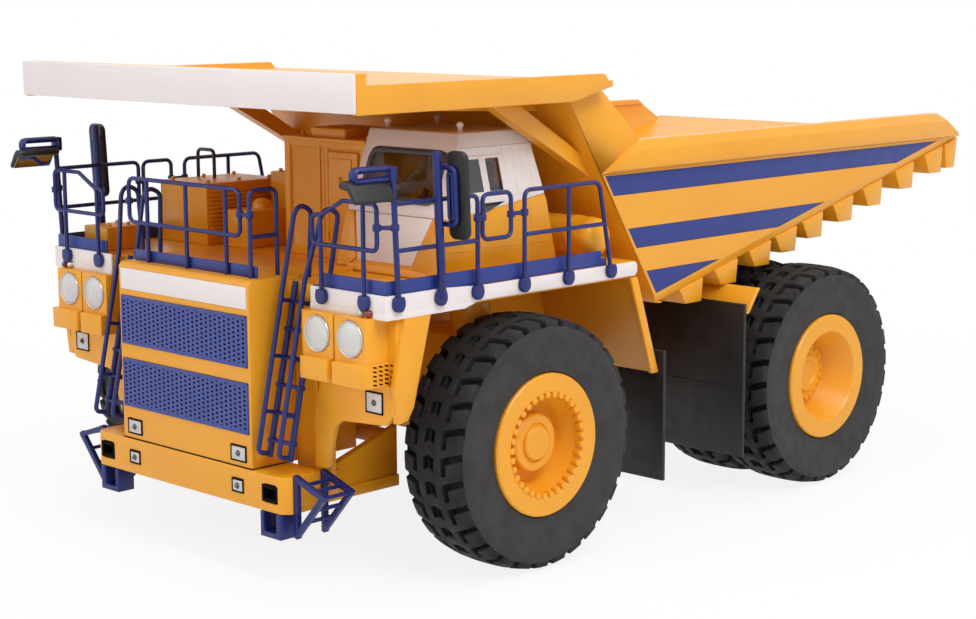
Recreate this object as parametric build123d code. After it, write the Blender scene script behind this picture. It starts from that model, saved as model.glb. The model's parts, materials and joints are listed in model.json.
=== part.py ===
from build123d import *
import os
from math import cos, pi, radians, tan

# Display model of a rigid mining dump truck, about 1:50, in millimetres.
# X points forward, Y to the left and Z up, with the ground at Z = 0.

# Tyres
tyre_radius = 30.6
tyre_width = 18.6
tread_crown = 5.0
groove_count = 20
groove_depth = 2.0
groove_width = 2.3
groove_lean = 24.0
centre_band = 2.8

# Rims and hubs
rim_radius = 17.3
rim_sides = 20
rim_clearance = 0.05
wheel_face_y = 71.4
dual_gap = 2.4
recess_radius = 12.4
recess_lean = 16.0
rim_cavity_radius = 13.0
front_recess_depth = 7.5
hub_radius = 7.0
hub_sides = 12
hub_face_depth = 4.0
hub_cap_radius = 4.2
hub_cap_height = 0.8
rear_recess_depth = 9.0
rear_hub_radius = 8.0
rear_hub_height = 1.6
rim_back_inset = 0.7
rim_web = 3.8
bore_end_depth = 1.2
spindle_radius = 5.0

# Pins that turn in bearings
pin_sides = 12
running_clearance = 0.06
end_clearance = 0.3

# Axle places
wheelbase = 114.8
front_axle_x = 71.0

# Steering
kingpin_y = 45.5
kingpin_radius = 2.8
kingpin_length = 12.0
knuckle_radius = 4.6
knuckle_bottom_z = 23.5
strut_radius = 5.2
strut_bottom_z = 40.0
strut_top_z = 63.0
axle_beam_length = 14.0
axle_beam_top_z = 55.0
steering_arm_reach = 14.0
steering_arm_z = 25.4
steering_arm_height = 2.4
steering_arm_width = 4.0
tie_rod_width = 2.0
tie_pin_radius = 1.0
tie_eye_radius = 2.3
tie_eye_height = 2.2

# Rear axle
rear_tube_radius = 11.0
rear_tube_end_gap = 0.6
rear_drum_radius = 12.2
rear_drum_length = 24.0
drive_shaft_size = 7.0
rear_strut_x_offset = 14.5
rear_strut_y = 22.6
rear_strut_radius = 3.2
rear_strut_rod_radius = 2.1
rear_strut_joint_z = 42.0
rear_strut_top_z = 50.0

# Frame
rail_inner_y = 13.0
rail_outer_y = 19.0
rail_top_z = 42.0
rail_bottom_z = 28.0
belly_z = 22.0
belly_front_x = 25.0
hump_front_reach = 16.0
hump_rear_reach = 18.0
axle_hump_z = 52.5
hump_clearance = 0.9
cross_member_length = 6.0
cross_member_height = 8.0
nose_member_x = 100.0
socket_places = (34.0, 5.0)
socket_bottom_z = 21.0
socket_radius = 1.25
socket_depth = 6.0
socket_boss_radius = 3.2
pivot_x = -69.0
pivot_z = 56.0
pivot_eye_radius = 5.0
pivot_pin_radius = 2.4
pivot_tube_radius = 3.0
bracket_width = 4.0
side_clearance = 0.3

# Arms between the bumper and the frame
arm_y = (33.0, 35.0)
arm_bar_y = (31.0, 35.6)
arm_bar_z = (17.4, 20.2)
arm_rear_x = 86.0
arm_rear_z = 32.4
arm_foot_length = 4.0
arm_eye_radius = 2.2

# Nose
housing_front_x = 123.6
housing_rear_x = 91.0
housing_half_width = 25.7
housing_top_z = 71.0
housing_chamfer = 1.0
rail_notch_clearance = 0.2
bumper_front_x = 124.0
bumper_rear_x = 112.0
bumper_half_width = 38.0
bumper_corner = 2.1
bumper_bottom_z = 17.3
bumper_top_z = 26.2
pocket_inset = 5.6
pocket_size = 4.4
pocket_depth = 3.0
hoop_y = (28.6, 36.0)
hoop_bottom_z = 11.1
hoop_length = 5.0
hoop_wall = (1.2, 1.7, 1.3)
grille_inset = 0.9
upper_grille_z = (50.4, 62.6)
lower_grille_z = (34.5, 46.7)
band_z = (64.2, 69.5)
panel_depth = 0.8
panel_proud = 0.2
square_lamp_depth = 1.0

# Deck
deck_top_z = 70.0
deck_thickness = 4.0
deck_front_x = 116.4
deck_rear_x = 31.0
deck_half_width = 65.0
wing_inner_y = 39.2
landing_front_x = 112.0
fascia_thickness = 0.7
fascia_bottom_z = 65.7
fascia_top_z = 70.7
fascia_taper_x = (99.0, 86.0)
fascia_rear_rise = 0.4
toe_top_z = 73.8
toe_thickness = 0.6
toe_rear_x = 44.0
centre_toe_height = 2.8
centre_toe_inset = 1.7
bay_half_width = 30.0
bay_lean = 8.0
arch_wall = 1.2
arch_flange = 2.6
arch_wall_drop = 8.6
arch_wall_bottom_z = 40.4
front_flap_x = (21.2, 22.3)
front_flap_z = (12.0, 46.0)
front_flap_width = 16.5

# Front wings, measured inwards from the deck's edge
lamp_box_inset = 4.3
lamp_box_width = 10.75
lamp_box_gap = 0.5
lamp_box_front_x = 118.6
lamp_box_rear_x = 108.0
lamp_box_bottom_z = 55.0
lens_radius = 4.4
lens_sides = 12
lens_z = 60.4
lower_box_inset = 3.5
lower_box_widths = (11.0, 9.2)
lower_box_gap = 1.8
lower_box_front_x = 120.0
lower_box_bottom_z = 49.8
box_setback = 1.2
louvre_rows = 4
louvre_x = (110.6, 117.8)
louvre_height = 0.5
louvre_pocket = 0.6
wing_panel_x = (112.2, 113.6)
flange_width = 1.7
corner_lamp_inset = (4.7, 10.1)
corner_lamp_z = (43.0, 48.0)
leg_foot_y = (36.8, 40.6)
leg_foot_z = 27.4

# Handrails
rail_bar = 1.1
handrail_z = 91.0
mid_rail_z = 80.6
post_foot_z = 67.8
corner_post_x = 113.2
corner_post_top_z = 96.0
mirror_post_x = 100.2
mirror_post_size = 2.0
mirror_post_top_z = 102.0
gate_posts_x = (88.4, 72.8)
middle_post_x = 57.4
rear_post_x = (41.8, 46.4)
gate_loop_inset = (1.6, 4.6)
loop_corner = 1.4
centre_rail_inset = 3.4
centre_rail_y = (-25.0, 19.0)
centre_posts_y = (-17.5, -1.8, 13.6)
return_rail_y = 22.6
return_rail_length = 8.0

# Ladders and bumper steps
ladder_y = (29.2, 36.4)
ladder_bar = 1.5
ladder_foot = (121.6, 29.6)
ladder_head = (113.4, 70.2)
ladder_grip_reach = 3.0
ladder_grip_top_z = 90.0
ladder_grip_depth = 5.2
grip_bar = 1.2
rung_count = 6
rung_first_z = 33.6
rung_pitch = 6.4
step_bar = 1.3
step_slat = 0.8
step_reach = 9.4
step_z = (12.4, 22.9, 26.0)
step_length = 9.6
step_setback = 2.4

# Cab
cab_outer_y = 54.5
cab_inner_y = 18.8
cab_roof_y = 50.0
cab_roof_z = 103.8
cab_belt_z = 86.0
cab_belt_tilt = 2.0
cab_rear_x = 49.3
cab_front_x = 90.6
cab_front_lean = 4.6
cab_roof_x = (55.6, 79.0)
cab_rear_belt_x = 53.0
cab_wall = 1.3
sill_gap = 3.4
header_gap = 5.6
side_windows_x = ((58.0, 63.4), (64.6, 75.0))
glass_recess = 0.35
glass_thickness = 0.5
front_panel_proud = 0.25
lifting_eye_radius = 0.7
lifting_eye_height = 1.9
seat_x = (58.0, 61.0, 70.0)
seat_y = (31.0, 41.0)
seat_heights = (12.0, 24.0)
console_x = (80.0, 84.0)
console_height = 14.0

# Boxes on the deck
cabinet_x = (45.5, 80.0)
cabinet_inner_y = -13.0
cabinet_top_z = 100.3
door_pocket = 0.6
intake_x = (60.0, 86.0)
intake_outer_inset = 6.0
intake_width = 20.5
intake_top_z = 86.5
intake_slots = 4
intake_slot_pitch = 3.0
tank_x = 41.5
tank_z = 76.5
tank_radius = 5.0
tank_inner_y = 30.0
tank_end_inset = 3.2
tank_dome = 2.4
saddle_width = 5.0

# Mirrors, measured outwards from the handrails
tall_mirror_y = (0.35, 6.55)
tall_mirror_z = (82.0, 102.0)
tall_mirror_thickness = 1.6
mirror_loop_thickness = 1.2
mirror_chamfer = 1.6
mirror_loop_z = (85.5, 98.0)
look_down_x = (112.6, 127.6)

# Dump body
body_half_width = 59.5
body_wall = 1.7
body_front_x = 16.5
body_front_z = 57.0
body_rake = 32.56
sill_slope = 0.24
floor_thickness = 2.0
body_top_z = 99.8
rail_drop = 8.0
rail_overhang = 2.4
web_reach = 16.0
tail_top_x = -113.8
tail_tip_x = -128.0
tail_bottom_z = 82.6
sill_bevel = (0.9, 2.2)
rib_length = 10.0
rib_slope = 0.225
rib_first_x = 2.0
rib_first_z = 55.3
rib_end_gap = 0.3
beam_step = 1.5
ear_width = 1.2
stripe_pocket = 0.5
stripe_thickness = 0.35
mudguard_y = (33.5, 69.8)

# Canopy
canopy_front_x = 124.4
canopy_overhang = 4.8
canopy_board = 1.5
canopy_board_z = (110.6, 117.0)
canopy_lip_z = (110.9, 119.6)
canopy_band_thickness = 0.8
canopy_lip_length = 3.0
canopy_roof_z = 115.3
canopy_roof_thickness = 1.5
canopy_rear_x = 40.0
canopy_rib_count = 7
canopy_rib_pitch = 15.5
canopy_rib_width = 1.8
canopy_rib_depth = 6.3
brace_inset = 4.0
brace_width = 3.8
brace_foot_z = (90.8, 97.3)
brace_head_reach = (38.0, 28.0)
seat_gap = 0.02

# Hoist cylinders
hoist_y = 26.0
hoist_foot = (-11.0, 20.0)
hoist_head = (-6.0, 58.0)
hoist_sides = 8
barrel_radius = 4.4
barrel_bore = 3.5
barrel_length = 33.0
stage_bore = 2.5
stage_length = 30.5
stage_start = 4.5
rod_start = 5.5
eye_radius = 2.5
hoist_pin_radius = 1.6
rod_eye_radius = 2.9
hoist_gap = 0.1

# Worked out from the sizes above
axle_z = tyre_radius
rear_axle_x = front_axle_x - wheelbase
deck_bottom_z = deck_top_z - deck_thickness
grille_half_width = housing_half_width - grille_inset
canopy_half_width = body_half_width + canopy_overhang
canopy_floor_z = canopy_roof_z - canopy_roof_thickness
rake = tan(radians(body_rake))
wall_step = body_wall / cos(radians(body_rake))
front_beam_x = (front_axle_x - axle_beam_length / 2, front_axle_x + axle_beam_length / 2)
beam_y = (rail_outer_y + side_clearance, rail_outer_y + side_clearance + bracket_width)
hoist_reach = ((hoist_head[0] - hoist_foot[0]) ** 2 + (hoist_head[1] - hoist_foot[1]) ** 2) ** 0.5


def block(x, y, z):
    """Box between three (low, high) pairs."""
    centre = Pos((x[0] + x[1]) / 2, (y[0] + y[1]) / 2, (z[0] + z[1]) / 2)
    return centre * Box(x[1] - x[0], y[1] - y[0], z[1] - z[0])


def outline(points):
    return make_face(Polyline(*points, close=True))


def across(face, y):
    """Face drawn in (x, z), carried across from y[0] to y[1]."""
    return extrude(Plane.XZ.offset(-y[1]) * face, amount=y[1] - y[0])


def along(face, x):
    """Face drawn in (y, z), carried along from x[0] to x[1]."""
    return extrude(Plane.YZ.offset(x[0]) * face, amount=x[1] - x[0])


def side_plate(points, y):
    return across(outline(points), y)


def front_plate(points, x):
    return along(outline(points), x)


def flat_plate(points, z):
    """Plan of (x, y) points drawn up from z[0] to z[1]."""
    return extrude(Plane.XY.offset(z[0]) * outline(points), amount=z[1] - z[0])


def strip(start, end, width):
    """Flat bar between two points of a drawing, run on so that corners close."""
    start, end = Vector(*start), Vector(*end)
    way = (end - start).normalized() * (width / 2)
    side = Vector(-way.Y, way.X)
    corners = [start - way + side, end + way + side, end + way - side, start - way - side]
    return outline([(corner.X, corner.Y) for corner in corners])


def bent_bar(route, width):
    return [strip(a, b, width) for a, b in zip(route, route[1:])]


def loop(low, high, corner, width):
    """Closed frame of bar between two opposite corners of a drawing, its own corners cut."""
    length, height = high[0] - low[0], high[1] - low[1]
    outer = Rectangle(length + width, height + width)
    inner = Rectangle(length - width, height - width)
    outer = chamfer(outer.vertices(), corner + width / 2)
    inner = chamfer(inner.vertices(), corner - width / 2)
    return Pos((low[0] + high[0]) / 2, (low[1] + high[1]) / 2) * (outer - inner)


def merged(shapes):
    shapes = list(shapes)
    whole = shapes[0]
    for shape in shapes[1:]:
        whole = whole + shape
    return whole


def round_bar(start, end, radius):
    start, end = Vector(start), Vector(end)
    return Solid.make_cylinder(radius, (end - start).length, Plane(start, z_dir=end - start))


def bar(start, end, radius, sides=8):
    """Many-sided bar between two points, its corners at the radius."""
    start, end = Vector(start), Vector(end)
    base = Plane(start, z_dir=end - start)
    return extrude(base * RegularPolygon(radius, sides), amount=(end - start).length)


def pin(start, end, radius):
    return bar(start, end, radius, pin_sides)


def hole(start, end, pin_radius):
    """Cutter for the bearing of a pin: its flats clear the pin's corners at any turn."""
    return bar(start, end, (pin_radius + running_clearance) / cos(pi / pin_sides), pin_sides)


def fused(shapes):
    shapes = list(shapes)
    return shapes[0].fuse(*shapes[1:]) if len(shapes) > 1 else shapes[0]


def group(shapes):
    """All the solids of several shapes, kept apart."""
    return Compound([solid for shape in shapes for solid in shape.solids()])


def mirrored(shape):
    return mirror(shape, about=Plane.XZ)


def both_sides(shape):
    return group([shape, mirrored(shape)])


def ring(radius, low, high, sides=rim_sides, lean=0.0):
    """Many-sided disc about the wheel's axis, drawn from low to high; lean draws its sides in."""
    return extrude(Pos(0, 0, low) * RegularPolygon(radius, sides), amount=high - low, taper=lean)


def tyre():
    """Tyre about Z: crowned tread with slanted grooves in from each side, round a many-sided bore."""
    half = tyre_width / 2
    pitch = 360 / groove_count
    # One flat to a groove, so that the tyre stands on a flat at its full radius
    plan = RegularPolygon(tyre_radius, groove_count, major_radius=False, rotation=pitch / 2)
    upper = extrude(plan, amount=half, taper=tread_crown)
    upper -= ring(rim_radius + rim_clearance, -1, half + 1)
    reach = half - centre_band + 1
    groove = Rot(X=groove_lean) * Box(2 * groove_depth, groove_width, reach)
    groove = Pos(tyre_radius, 0, centre_band + reach / 2) * groove
    upper = upper.cut(*[Rot(Z=pitch * index) * groove for index in range(groove_count)])
    return upper + mirror(upper, about=Plane.XY)


def recess(depth):
    """Cutter for a rim's recess, from its face at Z = 0 down to a smaller floor."""
    return Rot(X=180) * ring(recess_radius, 0, depth, lean=recess_lean)


def front_rim():
    """Rim about Z with its outer face at Z = 0: leaning recess, hub disc and cap, hollow back."""
    back = tyre_width - rim_back_inset
    web = front_recess_depth + rim_web
    shape = ring(rim_radius, -back, 0)
    shape -= recess(front_recess_depth)
    shape -= ring(rim_cavity_radius, -back, -web)
    shape += ring(hub_radius, -front_recess_depth - 1, -hub_face_depth, hub_sides)
    shape += ring(hub_cap_radius, -hub_face_depth, hub_cap_height - hub_face_depth, hub_sides)
    bore_end = bore_end_depth - front_recess_depth
    return shape - hole((0, 0, -back - 1), (0, 0, bore_end), spindle_radius)


def rear_rim():
    """Long rim for the twin tyres, deeper recessed, with its drive cap."""
    back = 2 * tyre_width + dual_gap - rim_back_inset
    shape = ring(rim_radius, -back, 0) - recess(rear_recess_depth)
    shape += ring(rear_hub_radius, -rear_recess_depth - 1, rear_hub_height - rear_recess_depth, hub_sides)
    bore_end = -rear_recess_depth
    return shape - hole((0, 0, -back - 1), (0, 0, bore_end), spindle_radius)


def on_axle(shape, x, y):
    """Wheel piece about Z laid on its axle, its outer side to the left."""
    return Pos(x, y, axle_z) * Rot(X=-90) * shape


def frame():
    """Two deep rails that rise over the rear axle to the tipping pivot, with their pins."""
    hump = (rear_axle_x + hump_front_reach, rear_axle_x - hump_rear_reach)
    clear_z = axle_z + rear_tube_radius + hump_clearance
    foot_x, foot_z = hoist_foot
    profile = [
        (bumper_rear_x, rail_bottom_z), (bumper_rear_x, rail_top_z - 4), (landing_front_x - 16, rail_top_z),
        (0, rail_top_z), (hump[0], axle_hump_z - 2), (hump[1], axle_hump_z),
        (pivot_x + 3, pivot_z + 4), (pivot_x - 3, pivot_z + 4), (pivot_x - 5, pivot_z),
        (pivot_x - 3, pivot_z - 4), (hump[1], clear_z), (hump[0], clear_z),
        (hump[0] + 8, rail_bottom_z), (foot_x, foot_z - 3), (foot_x + 12, belly_z),
        (belly_front_x, belly_z), (belly_front_x + 20, rail_bottom_z),
    ]
    pins = [
        pin((x, rail_inner_y + 1, z), (x, end_y, z), radius)
        for x, z, end_y, radius in (
            (foot_x, foot_z, hoist_y + eye_radius, hoist_pin_radius),
            (pivot_x, pivot_z, beam_y[1], pivot_pin_radius),
        )
    ]
    return both_sides(fused([side_plate(profile, (rail_inner_y, rail_outer_y)), *pins]))


def cross_members():
    """Cross members between the rails, with the stand sockets under two of them."""
    middle = (rail_top_z + rail_bottom_z) / 2
    half = cross_member_length / 2
    z = (middle - cross_member_height / 2, middle + cross_member_height / 2)
    y = (-rail_inner_y, rail_inner_y)
    shapes = [block((nose_member_x - half, nose_member_x + half), y, z)]
    for x in socket_places:
        boss = bar((x, 0, socket_bottom_z), (x, 0, middle), socket_boss_radius)
        socket = round_bar((x, 0, socket_bottom_z - 1), (x, 0, socket_bottom_z + socket_depth), socket_radius)
        shapes.append(fused([block((x - half, x + half), y, z), boss]) - socket)
    for x, z, radius in ((pivot_x, pivot_z, pivot_tube_radius), (*hoist_foot, hoist_pin_radius)):
        shapes.append(bar((x, y[0], z), (x, y[1], z), radius))
    return group(shapes)


def front_arms():
    """Arms from the bumper's ends back to the frame: bar below, sloped plate above, eye in front."""
    low, high = arm_bar_z
    plate = side_plate([
        (bumper_rear_x, low), (bumper_rear_x, bumper_top_z - 0.6), (bumper_rear_x - 5, bumper_top_z - 0.4),
        (arm_rear_x, arm_rear_z), (arm_rear_x, low),
    ], arm_y)
    lower = block((arm_rear_x, bumper_rear_x), arm_bar_y, arm_bar_z)
    foot = block((arm_rear_x, arm_rear_x + arm_foot_length), (rail_outer_y, arm_y[1]),
                 (rail_bottom_z, arm_rear_z - 1.4))
    eye_x = bumper_rear_x - 4
    eye = bar((eye_x, arm_y[1], high - 1), (eye_x, arm_y[1], bumper_top_z - 1), arm_eye_radius)
    return both_sides(fused([plate, lower, foot, eye]))


def bumper():
    """Bumper beam with eased ends, a square pocket near each end and pockets for its lamps."""
    width, corner = bumper_half_width, bumper_corner
    plan = [
        (bumper_rear_x, -width), (bumper_front_x - corner, -width), (bumper_front_x, corner - width),
        (bumper_front_x, width - corner), (bumper_front_x - corner, width), (bumper_rear_x, width),
    ]
    beam = flat_plate(plan, (bumper_bottom_z, bumper_top_z))
    middle = (bumper_bottom_z + bumper_top_z) / 2
    half = pocket_size / 2
    for y in (pocket_inset - width, width - pocket_inset):
        beam -= block((bumper_front_x - pocket_depth, bumper_front_x + 1), (y - half, y + half),
                      (middle - half, middle + half))
    for row in bumper_lamps:
        beam -= lamp_block(bumper_front_x, *row, extra=1)
    return beam


# Square lamps: middle y, middle z, half width, half height
bumper_lamps = [(side * 20.6, (bumper_bottom_z + bumper_top_z) / 2, 1.9, 1.7) for side in (-1, 1)]
housing_lamps = [(side * (housing_half_width - 5), bumper_top_z + 3.3, 2.9, 1.9) for side in (-1, 1)]


def lamp_block(front_x, y, z, half_y, half_z, extra=0):
    """Lamp body let into a front face; with extra it is the pocket, open in front."""
    return block((front_x - square_lamp_depth, front_x + panel_proud + extra),
                 (y - half_y, y + half_y), (z - half_z, z + half_z))


def grille_panel(z, extra=0):
    """Panel let into the housing's front; with extra it is the pocket, open in front."""
    return block((housing_front_x - panel_depth, housing_front_x + panel_proud + extra),
                 (-grille_half_width, grille_half_width), z)


def housing():
    """Radiator housing with an eased top edge, notched over the rails, with pockets in front."""
    ease = housing_chamfer
    shape = side_plate([
        (housing_rear_x, bumper_top_z), (housing_front_x, bumper_top_z),
        (housing_front_x, housing_top_z - ease), (housing_front_x - ease, housing_top_z),
        (housing_rear_x, housing_top_z),
    ], (-housing_half_width, housing_half_width))
    notch = rail_outer_y + rail_notch_clearance
    shape -= block((housing_rear_x - 1, bumper_rear_x + rail_notch_clearance), (-notch, notch),
                   (bumper_top_z - 1, rail_top_z))
    for z in (upper_grille_z, lower_grille_z, band_z):
        shape -= grille_panel(z, extra=1)
    for row in housing_lamps:
        shape -= lamp_block(housing_front_x, *row, extra=1)
    return shape


def tow_hoops():
    """U-shaped hoops under the bumper's ends, open from front to back."""
    inner, outer, under = hoop_wall
    x = (bumper_front_x - hoop_length, bumper_front_x)
    hoop = block(x, hoop_y, (hoop_bottom_z, bumper_bottom_z))
    hoop -= block((x[0] - 1, x[1] + 1), (hoop_y[0] + inner, hoop_y[1] - outer),
                  (hoop_bottom_z + under, bumper_bottom_z + 1))
    return both_sides(hoop)


def bumper_steps():
    """Folding step cages at the bumper's ends: two three-cornered frames joined by slats."""
    near = bumper_half_width + step_bar / 2
    far = near + step_reach
    low, middle, high = step_z
    corners = [(near, low), (far, middle), (near, high), (near, low)]
    front = bumper_front_x - step_setback
    back = front - step_length
    drawing = merged(bent_bar(corners, step_bar))
    shapes = [along(drawing, (front - step_bar, front)), along(drawing, (back, back + step_bar))]
    half = step_slat / 2
    # Slats between the frames: share of the way to the outer corner, from below or from above
    for share, start_z in ((1.0, low), (0.68, low), (0.36, low), (0.66, high), (0.33, high)):
        y, z = near + share * step_reach, start_z + share * (middle - start_z)
        shapes.append(block((back + step_bar, front - step_bar), (y - half, y + half), (z - half, z + half)))
    beside = block((back - 1, front + 1), (0, bumper_half_width), (low - step_bar, high + step_bar))
    return both_sides(fused(shapes) - beside)


def deck():
    """Flat deck with its two wings and the ladder landings beside the housing."""
    half = housing_half_width
    front = deck_front_x - fascia_thickness
    outer = deck_half_width - fascia_thickness
    plan = [
        (deck_rear_x, -outer), (front, -outer), (front, -wing_inner_y), (landing_front_x, -wing_inner_y),
        (landing_front_x, -half), (housing_rear_x, -half), (housing_rear_x, half),
        (landing_front_x, half), (landing_front_x, wing_inner_y), (front, wing_inner_y),
        (front, outer), (deck_rear_x, outer),
    ]
    return flat_plate(plan, (deck_bottom_z, deck_top_z))


def fascia():
    """White edge strips: full height in front, thinner along the sides behind a taper, rear end eased."""
    wall = fascia_thickness
    low = deck_bottom_z + fascia_rear_rise
    side = side_plate([
        (deck_rear_x, low + 0.8), (deck_rear_x + 0.8, low), (fascia_taper_x[1], low),
        (fascia_taper_x[0], fascia_bottom_z), (deck_front_x, fascia_bottom_z), (deck_front_x, fascia_top_z),
        (fascia_taper_x[0], fascia_top_z), (fascia_taper_x[1], deck_top_z), (deck_rear_x + 0.8, deck_top_z),
        (deck_rear_x, deck_top_z - 0.8),
    ], (deck_half_width - wall, deck_half_width))
    front = block((deck_front_x - wall, deck_front_x), (wing_inner_y, deck_half_width - wall / 2),
                  (fascia_bottom_z, fascia_top_z))
    return both_sides(fused([side, front]))


def toe_boards():
    """Toe boards standing on the deck inside the fascia, stepped down at their rear ends."""
    outer = deck_half_width - fascia_thickness
    front = deck_front_x - fascia_thickness
    middle_z = (deck_top_z + toe_top_z) / 2
    side = side_plate([
        (toe_rear_x - 2, deck_top_z), (front, deck_top_z), (front, toe_top_z), (toe_rear_x, toe_top_z),
        (toe_rear_x, middle_z), (toe_rear_x - 2, middle_z),
    ], (outer - toe_thickness, outer))
    nose = block((front - toe_thickness, front), (wing_inner_y + 3, outer), (deck_top_z, toe_top_z))
    centre_x = housing_front_x - centre_rail_inset - rail_bar / 2
    centre_y = housing_half_width - centre_toe_inset
    centre = block((centre_x - toe_thickness, centre_x), (-centre_y, centre_y),
                   (housing_top_z, housing_top_z + centre_toe_height))
    return group([both_sides(fused([side, nose])), centre])


def post(x, top_z):
    return [strip((x, post_foot_z), (x, top_z), rail_bar)]


def side_rails():
    """Handrails round the wings: posts down over the fascia, gate loop amidships, slanted rear post."""
    top, middle = handrail_z, mid_rail_z
    front_gate, rear_gate = gate_posts_x
    foot_x, head_x = rear_post_x
    cut = loop_corner
    bars = post(corner_post_x, corner_post_top_z) + post(mirror_post_x, middle) + post(front_gate, top)
    bars += post(rear_gate, top - cut) + post(middle_post_x, top)
    bars += bent_bar([(corner_post_x, top), (front_gate, top)], rail_bar)
    bars += bent_bar([(corner_post_x, middle), (front_gate, middle)], rail_bar)
    rear_rail = [(rear_gate, top - cut), (rear_gate - cut, top), (head_x, top), (foot_x, post_foot_z)]
    bars += bent_bar(rear_rail, rail_bar)
    mid_x = foot_x + (head_x - foot_x) * (middle - post_foot_z) / (top - post_foot_z)
    bars += bent_bar([(rear_gate, middle), (mid_x, middle)], rail_bar)
    inner, outer = rear_gate + gate_loop_inset[1], front_gate - gate_loop_inset[0]
    bars.append(loop((inner, middle), (outer, top), cut, rail_bar))
    clamp_z = (top + middle) / 2
    bars.append(strip((rear_gate, clamp_z), (inner, clamp_z), rail_bar))
    bars.append(strip((outer, clamp_z), (front_gate, clamp_z), rail_bar))
    edge = deck_half_width
    thick_post = block((mirror_post_x - mirror_post_size / 2, mirror_post_x + mirror_post_size / 2),
                       (edge, edge + mirror_post_size), (post_foot_z, mirror_post_top_z))
    side = fused([across(merged(bars), (edge, edge + rail_bar)), thick_post])
    posts_y = (wing_inner_y + 4.7, edge - 6.7)
    nose = [loop((wing_inner_y + 1.8, middle), (edge - 2.2, top), cut, rail_bar)]
    for y in posts_y:
        nose += post(y, top)
    front = along(merged(nose), (deck_front_x, deck_front_x + rail_bar))
    return both_sides(group([side, front]))


def centre_rail():
    """Handrail loop over the housing on its posts, with a return beside it on the left."""
    x = housing_front_x - centre_rail_inset
    low, top = housing_top_z, handrail_z + 0.5
    bars = [loop((centre_rail_y[0], mid_rail_z), (centre_rail_y[1], top), loop_corner, rail_bar)]
    for y in centre_posts_y:
        bars.append(strip((y, low + rail_bar / 2), (y, top), rail_bar))
    main = along(merged(bars), (x - rail_bar / 2, x + rail_bar / 2))
    back = x - return_rail_length
    foot_z = low + rail_bar / 2
    bars = bent_bar([(x, foot_z), (x, top), (back, top), (back, foot_z)], rail_bar)
    bars.append(strip((x, mid_rail_z), (back, mid_rail_z), rail_bar))
    side = across(merged(bars), (return_rail_y - rail_bar / 2, return_rail_y + rail_bar / 2))
    return group([main, side])


def ladders():
    """Ladders from the bumper to the landings, a grip rail looped over each side."""
    (foot_x, foot_z), (head_x, head_z) = ladder_foot, ladder_head
    lean = (head_x - foot_x) / (head_z - foot_z)
    grip = [
        (foot_x, foot_z + 2), (foot_x + ladder_grip_reach, foot_z + 2.6),
        (foot_x + ladder_grip_reach + lean * (ladder_grip_top_z - foot_z), ladder_grip_top_z),
        (head_x - ladder_grip_depth, ladder_grip_top_z),
        (head_x - ladder_grip_depth, deck_top_z + grip_bar / 2),
    ]
    drawing = merged(bent_bar([ladder_foot, ladder_head], ladder_bar) + bent_bar(grip, grip_bar))
    half = ladder_bar / 2
    shapes = [across(drawing, (y - half, y + half)) for y in ladder_y]
    for index in range(rung_count):
        z = rung_first_z + rung_pitch * index
        x = foot_x + lean * (z - foot_z)
        shapes.append(block((x - half / 2, x + half / 2), ladder_y, (z - half / 2, z + half / 2)))
    return both_sides(fused(shapes))


def lamp_box_sides():
    """Inner and outer y of the two lamp boxes, the outer one first."""
    outer = deck_half_width - lamp_box_inset
    inner = outer - lamp_box_width - lamp_box_gap
    return [(outer - lamp_box_width, outer), (inner - lamp_box_width, inner)]


def lens(y, start_x, end_x):
    return bar((start_x, y, lens_z), (end_x, y, lens_z), lens_radius, lens_sides)


def fenders():
    """Front wings: lamp boxes, louvred lower boxes, front panel, arch flange and the leg to the bumper."""
    edge = deck_half_width
    box_top = fascia_bottom_z - 0.3
    shapes = []
    lamp_sides = lamp_box_sides()
    for y in lamp_sides:
        shapes.append(block((lamp_box_rear_x, lamp_box_front_x), y, (lamp_box_bottom_z, box_top)))
    outer = edge - lower_box_inset
    gap_y = outer - lower_box_widths[0]
    inner = gap_y - lower_box_gap
    lower_z = (lower_box_bottom_z, lamp_box_bottom_z)
    shapes.append(block((lamp_box_rear_x, lower_box_front_x), (gap_y, outer), lower_z))
    shapes.append(block((lamp_box_rear_x, lower_box_front_x), (inner - lower_box_widths[1], inner), lower_z))
    core_y = (lamp_sides[1][0] + 1, lamp_sides[0][1] - 0.7)
    core_x = (lamp_box_rear_x, deck_front_x - fascia_thickness)
    shapes.append(block(core_x, core_y, (lower_box_bottom_z, deck_bottom_z)))
    panel = front_plate([
        (wing_inner_y, lower_box_bottom_z), (edge - 2, lower_box_bottom_z), (edge - 0.6, 46),
        (edge - 1, 43.5), (edge - 4, 40.6), (wing_inner_y + 6.8, 39.6), (wing_inner_y + 4.6, 38),
        (leg_foot_y[1], leg_foot_z), (leg_foot_y[0], leg_foot_z), (leg_foot_y[0] + 0.2, 40),
    ], wing_panel_x)
    flange = side_plate([
        (110.8, box_top), (102.8, box_top), (108.4, 44.6), (110.3, 41.8), (113.2, 41.4), (114, 49.4),
    ], (edge - flange_width, edge))
    skirt = block((lamp_box_rear_x, wing_panel_x[0] + 0.2), (core_y[1], edge - box_setback),
                  (corner_lamp_z[0] + 1, deck_bottom_z))
    wing = fused([*shapes, panel, flange, skirt])
    for y in lamp_sides:
        wing -= lens(sum(y) / 2, lamp_box_front_x - 1, lamp_box_front_x + 2)
    pitch = (lamp_box_bottom_z - lower_box_bottom_z) / louvre_rows
    for row in range(louvre_rows):
        z = lower_box_bottom_z + pitch * (row + 0.5)
        wing -= block(louvre_x, (outer - louvre_pocket, outer + 1),
                      (z - louvre_height / 2, z + louvre_height / 2))
    wing -= corner_lamp(extra=1)
    return both_sides(wing)


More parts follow.
